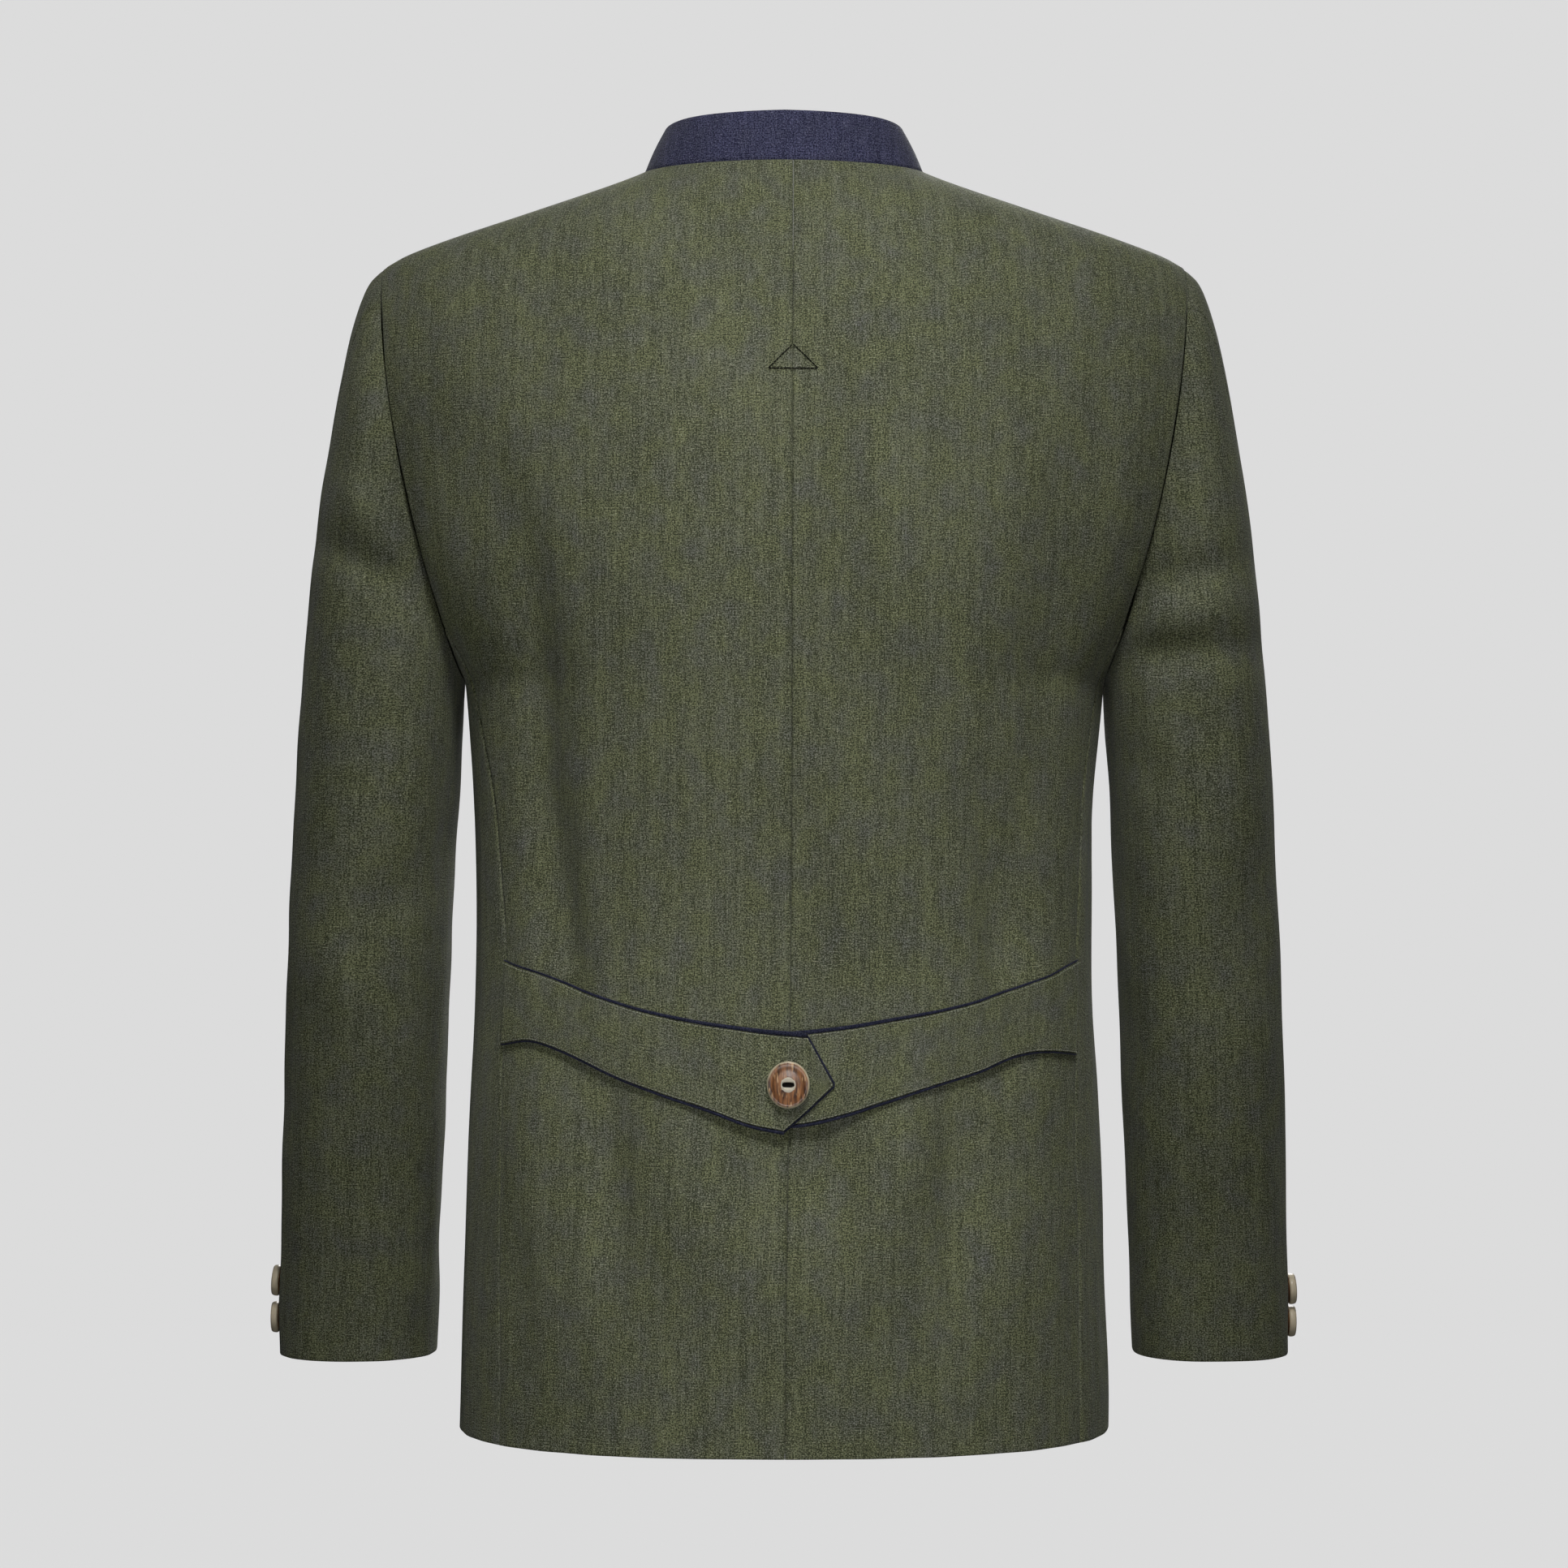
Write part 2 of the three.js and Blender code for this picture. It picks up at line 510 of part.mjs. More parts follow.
// Angle 0 is the sleeve's outer edge, 90 the back, 180 the inner edge.
function sleevePoint(side, angle, ring) {
  const at = Object.fromEntries(Object.keys(SLEEVE[0]).map((key) => [key, along(SLEEVE, 'ring', key, ring)]));
  const u = signedPower(Math.cos(angle), 2 / SLEEVE_POWER);
  const v = signedPower(Math.sin(angle), 2 / SLEEVE_POWER);
  const face = v >= 0 ? 'back' : 'front';
  const x = (at.outX + at.inX) / 2 + (u * (at.outX - at.inX)) / 2 + at.bow * (1 - u * u);
  const z = (at.outZ + at.inZ) / 2 + (u * (at.outZ - at.inZ)) / 2;
  const point = new THREE.Vector3(x, at.midY + v * at[face], z);
  const fit = Math.max(0, 1 - ring / SLEEVE_FIT_RINGS);
  point.addScaledVector(armholeFit(u, v, face), fit);
  const fade = Math.min(1, 1.6 * Math.abs(v));
  const fold = fade * foldDepth(SLEEVE_FOLDS.filter((row) => row.side === side), face, x, z);
  const outwards = new THREE.Vector3(u * (at.outX - at.inX), 2 * v * at[face], u * (at.outZ - at.inZ));
  point.addScaledVector(outwards.normalize(), fold);
  point.x *= side;
  return point;
}

// What brings the first ring onto the armhole, just outside the body's edge.
function armholeFit(u, v, face) {
  const z = armholeMiddle.z + armholeHalf.z * u;
  const depth = armholeDepth(z) * (along(BODY, 'z', face, z) / along(BODY, 'z', 'back', z));
  const tableDepth = Math.abs(v) * SLEEVE[0][face];
  const slant = Math.atan2(armholeHalf.x, armholeHalf.z);
  const shiftX = SLEEVE_TOP_GAP * Math.cos(slant);
  const shiftZ = -SLEEVE_TOP_GAP * Math.sin(slant);
  return new THREE.Vector3(shiftX, Math.sign(v) * (depth - tableDepth), shiftZ);
}

function sleeveNormal(side, angle, ring) {
  const lastRing = SLEEVE[SLEEVE.length - 1].ring;
  const within = THREE.MathUtils.clamp(ring, 0.1, lastRing - 0.1);
  const middle = sleevePoint(side, 0, within).add(sleevePoint(side, Math.PI, within)).multiplyScalar(0.5);
  return normalOf((a, r) => sleevePoint(side, a, r), angle, within, radians(1.5), 0.1, middle);
}

// One part of a sleeve, between the hind seam and the inner seam.
function sleevePanel(side, innerAngle) {
  const columns = 12;
  const grid = (depth) => SLEEVE.map(({ ring }) => {
    const hind = along(HIND_SEAM, 'ring', 'angle', ring);
    return Array.from({ length: columns + 1 }, (_, j) => {
      const angle = radians(lerp(hind, innerAngle, j / columns));
      return sleevePoint(side, angle, ring).addScaledVector(sleeveNormal(side, angle, ring), -depth);
    });
  });
  return wallGeometry(partedAtSeams(grid(0)), partedAtSeams(grid(CLOTH)));
}

// ---- Collar --------------------------------------------------------------

// A point of the neck's seam line, by the signed angle round the neck.
function neckPoint(degrees) {
  const turn = Math.abs(degrees);
  const side = Math.sign(degrees) || 1;
  if (turn <= 90) return bodyPoint(radians(degrees), 0);
  const share = Math.sin(radians(turn));
  const z = -NECK_FRONT_DROP * (1 - share ** NECK_CURVE_POWER);
  return bodyPoint(side * angleAt(NECK_HALF_WIDTH * share, z, true), z);
}

function collar() {
  const rowShares = [0, 0.5, 1];
  const half = [...Array.from({ length: 17 }, (_, i) => 10 * (i + 1)), COLLAR_END_ANGLE];
  const turns = [...half.map((turn) => -turn).reverse(), 0, ...half];
  const surface = (turn, share) => {
    const foot = neckPoint(turn);
    const out = new THREE.Vector3(foot.x, foot.y, 0).normalize();
    const fromEnd = foot.distanceTo(neckPoint(turn < 0 ? -180 : 180));
    const rise = along(COLLAR, 'angle', 'rise', Math.abs(turn));
    const cut = Math.max(0, COLLAR_CORNER_RADIUS - fromEnd);
    const corner = COLLAR_CORNER_RADIUS - Math.sqrt(COLLAR_CORNER_RADIUS ** 2 - cut ** 2);
    const height = share * (rise - corner);
    const lean = (along(COLLAR, 'angle', 'lean', Math.abs(turn)) * height) / rise;
    const swell = COLLAR_SWELL * Math.sin(Math.PI * share);
    return foot.addScaledVector(out, swell - lean).add(new THREE.Vector3(0, 0, COLLAR_FOOT_GAP + height));
  };
  const inwards = (turn, share) => {
    const inside = new THREE.Vector3(0, 0, surface(turn, share).z - 10);
    return normalOf(surface, turn, share, 0.4, 0.05, inside).multiplyScalar(-DOUBLE_CLOTH);
  };
  const outer = rowShares.map((share) => turns.map((turn) => surface(turn, share)));
  const inner = rowShares.map((share) => turns.map((turn) => surface(turn, share).add(inwards(turn, share))));
  return wallGeometry(outer, inner);
}

// ---- Half belt -----------------------------------------------------------

// A point of the back at x, z, moved out by lift.
function onBack(x, z, lift) {
  const angle = angleAt(x, z);
  return bodyPoint(angle, z).addScaledVector(bodyNormal(angle, z), lift);
}

// The left half climbs over the right half towards the centre.
const beltLift = {
  left: (x) => {
    const climbed = 1 - THREE.MathUtils.smoothstep(x, BELT_RAMP.over, BELT_RAMP.flat);
    return LAID_ON + (DOUBLE_CLOTH + BELT_LAP_GAP) * climbed;
  },
  right: () => LAID_ON,
};

// Lines across one half of the belt: each has a top and a low point.
function beltLines(table, tip) {
  const lastLine = table[table.length - 1].line;
  const lines = Array.from({ length: BELT_COLUMNS + 1 }, (_, j) => {
    const line = lerp(0, lastLine, j / BELT_COLUMNS);
    const at = (column) => along(table, 'line', column, line);
    return { topX: at('topX'), topZ: at('topZ'), lowX: at('lowX'), lowZ: at('lowZ') };
  });
  if (tip) {
    const { x, z, halfWidth } = BELT_TIP;
    lines.push({ topX: x, topZ: z + halfWidth, lowX: x, lowZ: z - halfWidth });
  }
  return lines;
}

function beltHalf(lines, liftAt) {
  const rowShares = [0, 0.5, 1];
  const grid = (depth) => rowShares.map((share) => lines.map((line) => {
    const x = lerp(line.topX, line.lowX, share);
    return onBack(x, lerp(line.topZ, line.lowZ, share), liftAt(x) + depth);
  }));
  return wallGeometry(grid(DOUBLE_CLOTH), grid(0));
}

// A round piping beside one edge of a belt half, beyond its cloth.
function beltPiping(lines, liftAt, edge) {
  const away = (edge === 'top' ? 1 : -1) * (PIPING_GAP + PIPING_RADIUS);
  const points = lines.map((line) => {
    const x = edge === 'top' ? line.topX : line.lowX;
    const z = edge === 'top' ? line.topZ : line.lowZ;
    return onBack(x, z + away, liftAt(x) + DOUBLE_CLOTH / 2);
  });
  const round = new THREE.Shape().absarc(0, 0, PIPING_RADIUS, 0, 2 * Math.PI);
  return new THREE.ExtrudeGeometry(round, {
    steps: BELT_COLUMNS,
    curveSegments: 3,
    extrudePath: new THREE.CatmullRomCurve3(points),
  });
}

// ---- Buttons -------------------------------------------------------------

// A dished disc about its own Z axis, standing on z = 0.
function buttonGeometry({ radius, narrow, rim, middle, sides }) {
  const profile = [
    [0, 0], [0.8 * radius, 0], [radius, 0.35 * rim], [0.97 * radius, 0.8 * rim],
    [0.84 * radius, rim], [0.6 * radius, middle], [0, middle],
  ];
  const geometry = new THREE.LatheGeometry(profile.map(([r, z]) => new THREE.Vector2(r, z)), sides);
  geometry.rotateX(Math.PI / 2);
  return geometry.scale(narrow, 1, 1);
}

function buttonMesh(name, size, place, out) {
  const mesh = pieceMesh(name, buttonGeometry(size), horn);
  mesh.position.copy(place).addScaledVector(out, BUTTON_GAP);
  mesh.quaternion.setFromUnitVectors(new THREE.Vector3(0, 0, 1), out);
  return mesh;
}

function backButton() {
  const { x, z } = BACK_BUTTON;
  const place = onBack(x, z, beltLift.left(x) + DOUBLE_CLOTH);
  return buttonMesh('back_button', BACK_BUTTON, place, bodyNormal(angleAt(x, z), z));
}

function frontButtons() {
  return FRONT_BUTTON_HEIGHTS.map((z, i) => {
    const place = bodyPoint(Math.PI, z);
    return buttonMesh(`front_button_${i + 1}`, FRONT_BUTTON, place, bodyNormal(Math.PI, z));
  });
}

function cuffButtons(side, word) {
  return CUFF_BUTTON_HEIGHTS[word].map((z, i) => {
    const angle = radians(CUFF_BUTTON.angle);
    const ring = ringAt(z);
    const out = sleeveNormal(side, angle, ring);
    return buttonMesh(`cuff_button_${word}_${i + 1}`, CUFF_BUTTON, sleevePoint(side, angle, ring), out);
  });
}

// The ring number of a level of the lower sleeve.
function ringAt(z) {
  const rows = SLEEVE.map(({ ring, outZ }) => ({ ring, outZ }));
  return along(rows, 'outZ', 'ring', z);
}

// ---- The jacket ----------------------------------------------------------

function pieceMesh(name, geometry, finish) {
  const mesh = new THREE.Mesh(geometry, new THREE.MeshStandardMaterial(finish));
  mesh.name = name;
  return mesh;
}

const group = new THREE.Group();
const sides = [{ side: 1, word: 'left' }, { side: -1, word: 'right' }];

for (const { side, word } of sides) {
  group.add(pieceMesh(`back_${word}`, backPanel(side), linen));
  group.add(pieceMesh(`side_${word}`, sidePanel(side), linen));
  group.add(pieceMesh(`front_${word}`, frontPanel(side), linen));
  group.add(pieceMesh(`top_sleeve_${word}`, sleevePanel(side, INNER_SEAM_ANGLE - 360), linen));
  group.add(pieceMesh(`under_sleeve_${word}`, sleevePanel(side, INNER_SEAM_ANGLE), linen));
  group.add(...cuffButtons(side, word));
}
group.add(pieceMesh('back_pleat', pleatUnderlay(), linen));
group.add(pieceMesh('collar', collar(), navyLinen));

const beltHalves = [
  { word: 'left', lines: beltLines(BELT_LEFT, true), piped: beltLines(BELT_LEFT, false) },
  { word: 'right', lines: beltLines(BELT_RIGHT, false), piped: beltLines(BELT_RIGHT, false) },
];
for (const { word, lines, piped } of beltHalves) {
  const liftAt = beltLift[word];
  group.add(pieceMesh(`belt_${word}`, beltHalf(lines, liftAt), linen));
  group.add(pieceMesh(`piping_top_${word}`, beltPiping(piped, liftAt, 'top'), navyLinen));
  group.add(pieceMesh(`piping_low_${word}`, beltPiping(piped, liftAt, 'low'), navyLinen));
}
group.add(backButton());
group.add(...frontButtons());

export default group;
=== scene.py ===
"""A linen jacket with a stand collar and a buttoned half belt, dressed for its picture.

Forms are worked out in millimetres from the jacket's own sizes, and only turned
into metres where a mesh is made. The wearer faces -Y and their left is +X.
"""
import logging
import math
import random
from collections.abc import Callable
from dataclasses import dataclass, field, replace
from enum import Enum

import bmesh
import bpy
import numpy as np
from mathutils import Euler, Matrix, Vector


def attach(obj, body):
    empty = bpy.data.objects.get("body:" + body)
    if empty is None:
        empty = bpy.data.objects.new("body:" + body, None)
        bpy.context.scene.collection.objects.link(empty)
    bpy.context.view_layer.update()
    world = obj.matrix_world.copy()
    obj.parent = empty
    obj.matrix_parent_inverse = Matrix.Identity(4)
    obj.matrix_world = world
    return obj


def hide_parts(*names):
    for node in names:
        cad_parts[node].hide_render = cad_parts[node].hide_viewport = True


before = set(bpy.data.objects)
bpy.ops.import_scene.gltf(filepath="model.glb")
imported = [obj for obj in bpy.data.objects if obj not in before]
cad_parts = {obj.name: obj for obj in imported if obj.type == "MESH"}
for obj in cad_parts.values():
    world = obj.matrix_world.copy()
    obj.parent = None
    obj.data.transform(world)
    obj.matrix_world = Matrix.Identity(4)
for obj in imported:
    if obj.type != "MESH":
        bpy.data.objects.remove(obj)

MM = 0.001
ROOT = "root"
log = logging.getLogger("jacket")

Array = np.ndarray
StitchPlaces = list[tuple[Array, Array, Array]]
UPWARDS = np.array([0.0, 0.0, 1.0])


# ---- Sizes shared with the solids --------------------------------------------

CLOTH = 1.9
DOUBLE_CLOTH = 2.3
LAID_ON = 0.6
SEAM_HALF_GAP = 0.035
CLOSED_SEAM_OVERLAP = 0.12
HEM_Z = -715.0
NECK_HALF_WIDTH = 80.0
NECK_FRONT_DROP = 62.0
NECK_CURVE_POWER = 1.5
SHOULDER_TIP = (228.5, -55.0)
UNDERARM = (182.0, -290.0)
ARMHOLE_MIDDLE = ((SHOULDER_TIP[0] + UNDERARM[0]) / 2, (SHOULDER_TIP[1] + UNDERARM[1]) / 2)
ARMHOLE_HALF = ((SHOULDER_TIP[0] - UNDERARM[0]) / 2, (SHOULDER_TIP[1] - UNDERARM[1]) / 2)
ARMHOLE_HALF_DEPTH = 66.0
ARMHOLE_BOW = 8.5
ARMHOLE_POWER = 2.3
BROADEST = 0.999
SIDE_SEAM_TOP_Z = -262.0
LAP_WIDTH = 18.0
BELT_STAND = 2.4

# how a cut piece is meshed: spacing of its points, and places beside a finished edge
GRID_STEP = 4.4
BELT_STEP = 2.6
COLLAR_STEP = 2.2
EDGE_LEAD = (0.0, 0.55, 1.15, 1.95, 3.0)
HEAD_LEAD = (0, 0.3, 0.7, 1.2, 1.9, 2.8)
YOKE_ROWS = 36
ROLL_POWER = 1.7
TURNED_EDGE_ANGLE = 55

# places of the pieces on the bolt of cloth, so that no two show the same threads
BACK_BOLT = (400.0, 23.0)
SLEEVE_BOLT = (900.0, 140.0)
FRONT_BOLT = (1500.0, 60.0)
SIDE_BOLT = (2100.0, -80.0)
BELT_BOLT = (2700.0, 310.0)

# how much of a fold is left at its ends; how folds fade towards the sides of the body and
# of a sleeve, and the rumple towards the neck and the armholes
FOLD_END_SHARE = 0.35
SIDE_FADE = 2
SLEEVE_SIDE_FADE = 1.6
BODY_RADIUS = 150
SLEEVE_RADIUS = 60
RUMPLE_START = 60
SLEEVE_RUMPLE_RINGS = 3

# steps by which normals are found, and how far below a point the inside is taken to lie
BODY_STEPS = (math.radians(1.2), 2.0)
SLEEVE_STEPS = (math.radians(1.5), 0.1)
COLLAR_STEPS = (0.4, 0.05)
INSIDE_BELOW = 40
INSIDE_COLLAR = 10

# z, depth behind, depth before, squareness
BODY = (
    (0, 62, 56, 2), (-20, 76, 69, 2.05), (-55, 93, 83, 2.15), (-100, 111, 99, 2.3),
    (-150, 123, 115, 2.4), (-200, 128, 123, 2.4), (-260, 127, 126, 2.4), (-330, 120, 123, 2.4),
    (-430, 110, 119, 2.4), (-520, 114, 121, 2.4), (-600, 122, 125, 2.4), (-715, 131, 130, 2.4),
)
SHOULDER = (
    (0, 80), (-1.6, 83.5), (-7.2, 97.9), (-24, 147.2), (-40.7, 196.9), (-49, 218), (-55, 228.5),
)
SIDES = (
    (-290, 182), (-318, 179.7), (-355, 176.9), (-410, 175.4), (-460, 175.8), (-520, 178.7),
    (-580, 181.2), (-650, 183.3), (-715, 184.8),
)
# z, back seam on the left, back seam on the right, front seam
SIDE_SEAMS = (
    (-262, 190, 190, 190), (-290, 176.5, 178, 177), (-330, 167.5, 171, 168),
    (-365, 161.7, 167.6, 162), (-400, 158.6, 166, 158), (-447, 156, 164.4, 155),
    (-520, 157, 163.6, 155), (-715, 158.6, 165, 157),
)
CENTRE_BACK_SEAM = ((0, -5.2), (-200, -4.6), (-540, -3.4), (-610, -1.6), (-715, -0.4))

# ring, outer x and z, inner x and z, middle of the depth, half depths, bow
SLEEVE = (
    (0, 228.5, -55, 182, -290, 0, 66, 63, 8.5), (1, 237.4, -65, 182.8, -291.6, 0, 69, 66, 8),
    (2, 245.4, -88, 183, -292.8, 0, 72, 69, 7), (3, 252.9, -123, 183.1, -294, 0, 74, 72, 5.5),
    (4, 259.5, -160, 183.2, -295.2, 0, 75, 74, 4), (5, 265.3, -197, 183.3, -296.4, 0, 75, 75, 3),
    (6, 269.5, -234, 183.4, -297.6, 0, 75, 75, 2), (7, 272.8, -270, 183.5, -299, 0, 75, 75, 1),
    (8, 275.6, -304, 183.9, -304, -0.5, 75, 75, 0), (9, 277.8, -336, 185.6, -336, -1.5, 74, 74, 0),
    (10, 279.9, -371, 187.8, -371, -3, 72, 72, 0), (11, 281.9, -408, 189.7, -408, -5, 69, 69, 0),
    (12, 284, -447, 191.7, -447, -8, 66, 66, 0), (13, 285.9, -488, 193.8, -488, -12, 62, 62, 0),
    (14, 287.7, -530, 195.7, -530, -18, 58, 58, 0), (15, 289.6, -572, 197.8, -572, -24.5, 54, 54, 0),
    (16, 291.2, -614, 199.9, -614, -32, 51, 51, 0), (17, 292.6, -648, 201.2, -648, -37, 49.5, 49.5, 0),
    (18, 293.1, -679, 202.8, -679, -41, 49, 49, 0),
)
SLEEVE_POWER = 2.3
SLEEVE_HEAD_RINGS = 8
SLEEVE_TOP_GAP = 0.12
SLEEVE_FIT_RINGS = 1.6
HIND_SEAM = ((0, 42), (3, 26), (6, 8), (8, 0), (12, -5), (18, -6))
INNER_SEAM_ANGLE = 202.0

# angle round the neck, lean inwards, rise
COLLAR = ((0, 9, 29.5), (45, 10.5, 28.5), (90, 12.6, 26.5), (135, 10, 28), (180, 7, 30))

# line, top x and z, low x and z
BELT_LEFT = (
    (0, 155.4, -448.4, 155.8, -493.5), (1, 133.9, -455.6, 138, -491), (2, 109.1, -464.4, 114, -499.3),
    (3, 84.9, -472.2, 90, -509.8), (4, 61, -477.9, 64, -518.9), (5, 37.2, -482.3, 39, -527.3),
    (6, 13.5, -485.6, 19.4, -534.4), (7, -12.2, -488.2, 0.8, -538.4),
)
BELT_TIP = (-27.1, -513.6, 0.7)
BELT_RIGHT = (
    (0, -163, -448.6, -161.6, -499.4), (1, -147, -456.2, -144.7, -497), (2, -129.6, -462.5, -128, -498.8),
    (3, -105.4, -470, -105.4, -506.9), (4, -81.3, -475.4, -80, -514.2), (5, -57.5, -479.6, -57, -521.5),
    (6, -33.8, -483.9, -33, -529.4), (7, -8, -486.8, -8, -534.6), (8, 14, -487.6, 14, -532.4),
)


class Side(Enum):
    """The wearer's side of the jacket; the value is the sign of x."""

    LEFT = 1
    RIGHT = -1

    @property
    def word(self) -> str:
        """The side as it is written in piece names."""
        return self.name.lower()


class Edge(Enum):
    """How the edge of a cut piece is finished: how far in it rolls, over what width."""

    SEAM = (0.7, 2.2)
    CLOSED = (0.7, 2.21)
    LAP = (0.8, 2.6)
    CENTRE = (1.3, 1.1)
    ARMHOLE = (0.5, 3.4)
    FREE = (0.35, 1.2)
    TURNED = (0.55, 2.4)
    PLAIN = (0.0, 1.0)

    @property
    def drop(self) -> float:
        """How far the edge itself lies below the cloth, in mm."""
        return self.value[0]

    @property
    def width(self) -> float:
        """How wide the roll is, in mm."""
        return self.value[1]

    @property
    def half_gap(self) -> float:
        """How far the edge is drawn back from the seam's line, in mm."""
        return -CLOSED_SEAM_OVERLAP if self is Edge.CLOSED else SEAM_HALF_GAP


# ---- Mathematics of the forms ------------------------------------------------

def signed_power(value: Array, power: Array | float) -> Array:
    """Raise the size of each value to a power and keep its sign."""
    return np.sign(value) * np.abs(value) ** power


def floats(*values: Array | float) -> tuple[Array, ...]:
    """Numbers as arrays of one shape."""
    return np.broadcast_arrays(*(np.asarray(value, dtype=float) for value in values))


def fading(value: Array, full: float, none: float) -> Array:
    """A share that falls smoothly from 1 where a value is full to 0 where it is none."""
    s = np.clip((value - full) / (none - full), 0, 1)
    return 1 - s * s * (3 - 2 * s)


class Curve:
    """A smooth curve through the rows of a table, flat beyond its ends."""

    def __init__(self, rows: tuple, column: int = 1) -> None:
        """Take one column of a table against its first.

        Args:
            rows: The table, in rising or falling order of its first column.
            column: The column that the curve follows.
        """
        order = sorted((row[0], row[column]) for row in rows)
        self.places = np.array([place for place, _ in order], dtype=float)
        self.values = np.array([value for _, value in order], dtype=float)
        slopes = np.diff(self.values) / np.diff(self.places)
        self.tangents = np.concatenate(([slopes[0]], (slopes[1:] + slopes[:-1]) / 2, [slopes[-1]]))

    def __call__(self, at: Array | float) -> Array:
        """Read the curve.

        Args:
            at: Where to read it.

        Returns:
            Its value at each place.
        """
        at = np.clip(np.asarray(at, dtype=float), self.places[0], self.places[-1])
        i = np.clip(np.searchsorted(self.places, at, side="right") - 1, 0, len(self.places) - 2)
        span = self.places[i + 1] - self.places[i]
        s = (at - self.places[i]) / span
        rise = self.values[i + 1] - self.values[i]
        bend = span * s * (1 - s) * ((1 - s) * self.tangents[i] - s * self.tangents[i + 1])
        return self.values[i] + (3 - 2 * s) * s * s * rise + bend


@dataclass(frozen=True)
class Fold:
    """A soft fold along a path in x and z; a negative depth is a trough."""

    path: tuple
    width: float
    depth: float

    def lift(self, x: Array, z: Array) -> Array:
        """How far this fold moves the cloth out.

        Args:
            x: Sideways places, in mm.
            z: Heights, in mm.

        Returns:
            The displacement at each place, in mm.
        """
        nearest = np.full(np.shape(x), np.inf)
        place = np.zeros(np.shape(x))
        last = len(self.path) - 1
        for i, ((x1, z1), (x2, z2)) in enumerate(zip(self.path, self.path[1:])):
            dx, dz = x2 - x1, z2 - z1
            s = np.clip(((x - x1) * dx + (z - z1) * dz) / (dx * dx + dz * dz), 0, 1)
            distance = np.hypot(x - x1 - s * dx, z - z1 - s * dz)
            closer = distance < nearest
            nearest = np.where(closer, distance, nearest)
            place = np.where(closer, (i + s) / last, place)
        taper = FOLD_END_SHARE + (1 - FOLD_END_SHARE) * np.sin(np.pi * place)
        return self.depth * taper * np.exp(-((nearest / self.width) ** 2))


def folds_lift(form: "BodyForm | SleeveForm", behind: Array, x: Array, z: Array) -> Array:
    """Add up a form's folds, those of its back or of its front.

    Args:
        form: The form that has them.
        behind: Where its back is meant.
        x: Sideways places, in mm.
        z: Heights, in mm.

    Returns:
        The displacement at each place, in mm.
    """
    back, front = (
        sum((fold.lift(x, z) for fold in table), np.zeros(np.shape(x)))
        for table in (form.back_folds, form.front_folds)
    )
    return np.where(behind, back, front)


@dataclass(frozen=True)
class Rumple:
    """The slight unevenness of worn linen: a few long waves that never line up."""

    depth: float = 0.32
    seed: int = 7
    waves: int = 9
    lengths: tuple = (24, 78)
    turned: float = 0.75
    drawn_out: float = 0.55

    def lift(self, across: Array, z: Array) -> Array:
        """Read the waves.

        Args:
            across: Places across the cloth, in mm.
            z: Heights, in mm.

        Returns:
            The displacement at each place, in mm.
        """
        chance = random.Random(self.seed)
        total = np.zeros(np.shape(across))
        for _ in range(self.waves):
            length = chance.uniform(*self.lengths)
            turn = chance.gauss(0, self.turned)
            phase = chance.uniform(0, 2 * math.pi)
            way = (across * math.cos(turn) + self.drawn_out * z * math.sin(turn)) / length
            total = total + np.sin(2 * math.pi * way + phase)
        return total * self.depth / math.sqrt(self.waves / 2)


def unit(vectors: Array) -> Array:
    """Scale vectors to length one."""
    return vectors / np.maximum(np.linalg.norm(vectors, axis=-1, keepdims=True), 1e-9)


def surface_normal(
    point: Callable[[Array, Array], Array], u: Array, v: Array, steps: tuple, inside: Array,
) -> Array:
    """The normal of a surface by small steps, turned away from its inside.

    Args:
        point: The surface, a function of u and v.
        u: First parameter.
        v: Second parameter.
        steps: The step in u and in v.
        inside: Points within the form.

    Returns:
        Unit normals.
    """
    du = point(u + steps[0], v) - point(u - steps[0], v)
    dv = point(u, v + steps[1]) - point(u, v - steps[1])
    normal = unit(np.cross(du, dv))
    outward = np.sum(normal * (point(u, v) - inside), axis=-1, keepdims=True)
    return np.where(outward < 0, -normal, normal)


# ---- Folds -------------------------------------------------------------------

def folds(*rows: tuple) -> tuple[Fold, ...]:
    """Read a table of folds: the places of each path, then its width and its depth."""
    return tuple(Fold(tuple(path), width, depth) for *path, width, depth in rows)


BACK_FOLDS = folds(
    ((176, -160), (141, -225), (138, -330), (130, -440), 20, -6),
    ((-174, -150), (-141, -270), (-132, -430), 19, -5),
    ((-30, -140), (-31, -300), 15, -1.8),
    ((66, -535), (22, -640), 22, 3),
    ((98, -520), (90, -640), 16, -3.5),
    ((138, -510), (134, -640), 17, 3),
    ((-30, -545), (-42, -660), 13, -2),
    ((-70, -535), (-40, -630), 20, 3),
    ((-99, -530), (-94, -660), 16, -3.5),
    ((-130, -520), (-134, -690), 18, 2.5),
)
FRONT_FOLDS = folds(
    ((168, -150), (134, -250), (120, -420), 22, -4),
    ((-166, -160), (-130, -260), (-118, -400), 21, -3.5),
    ((96, -440), (110, -660), 24, 3),
    ((-90, -450), (-104, -670), 22, 2.5),
    ((58, -470), (62, -690), 18, -2.5),
    ((-56, -500), (-60, -690), 18, -2.5),
)
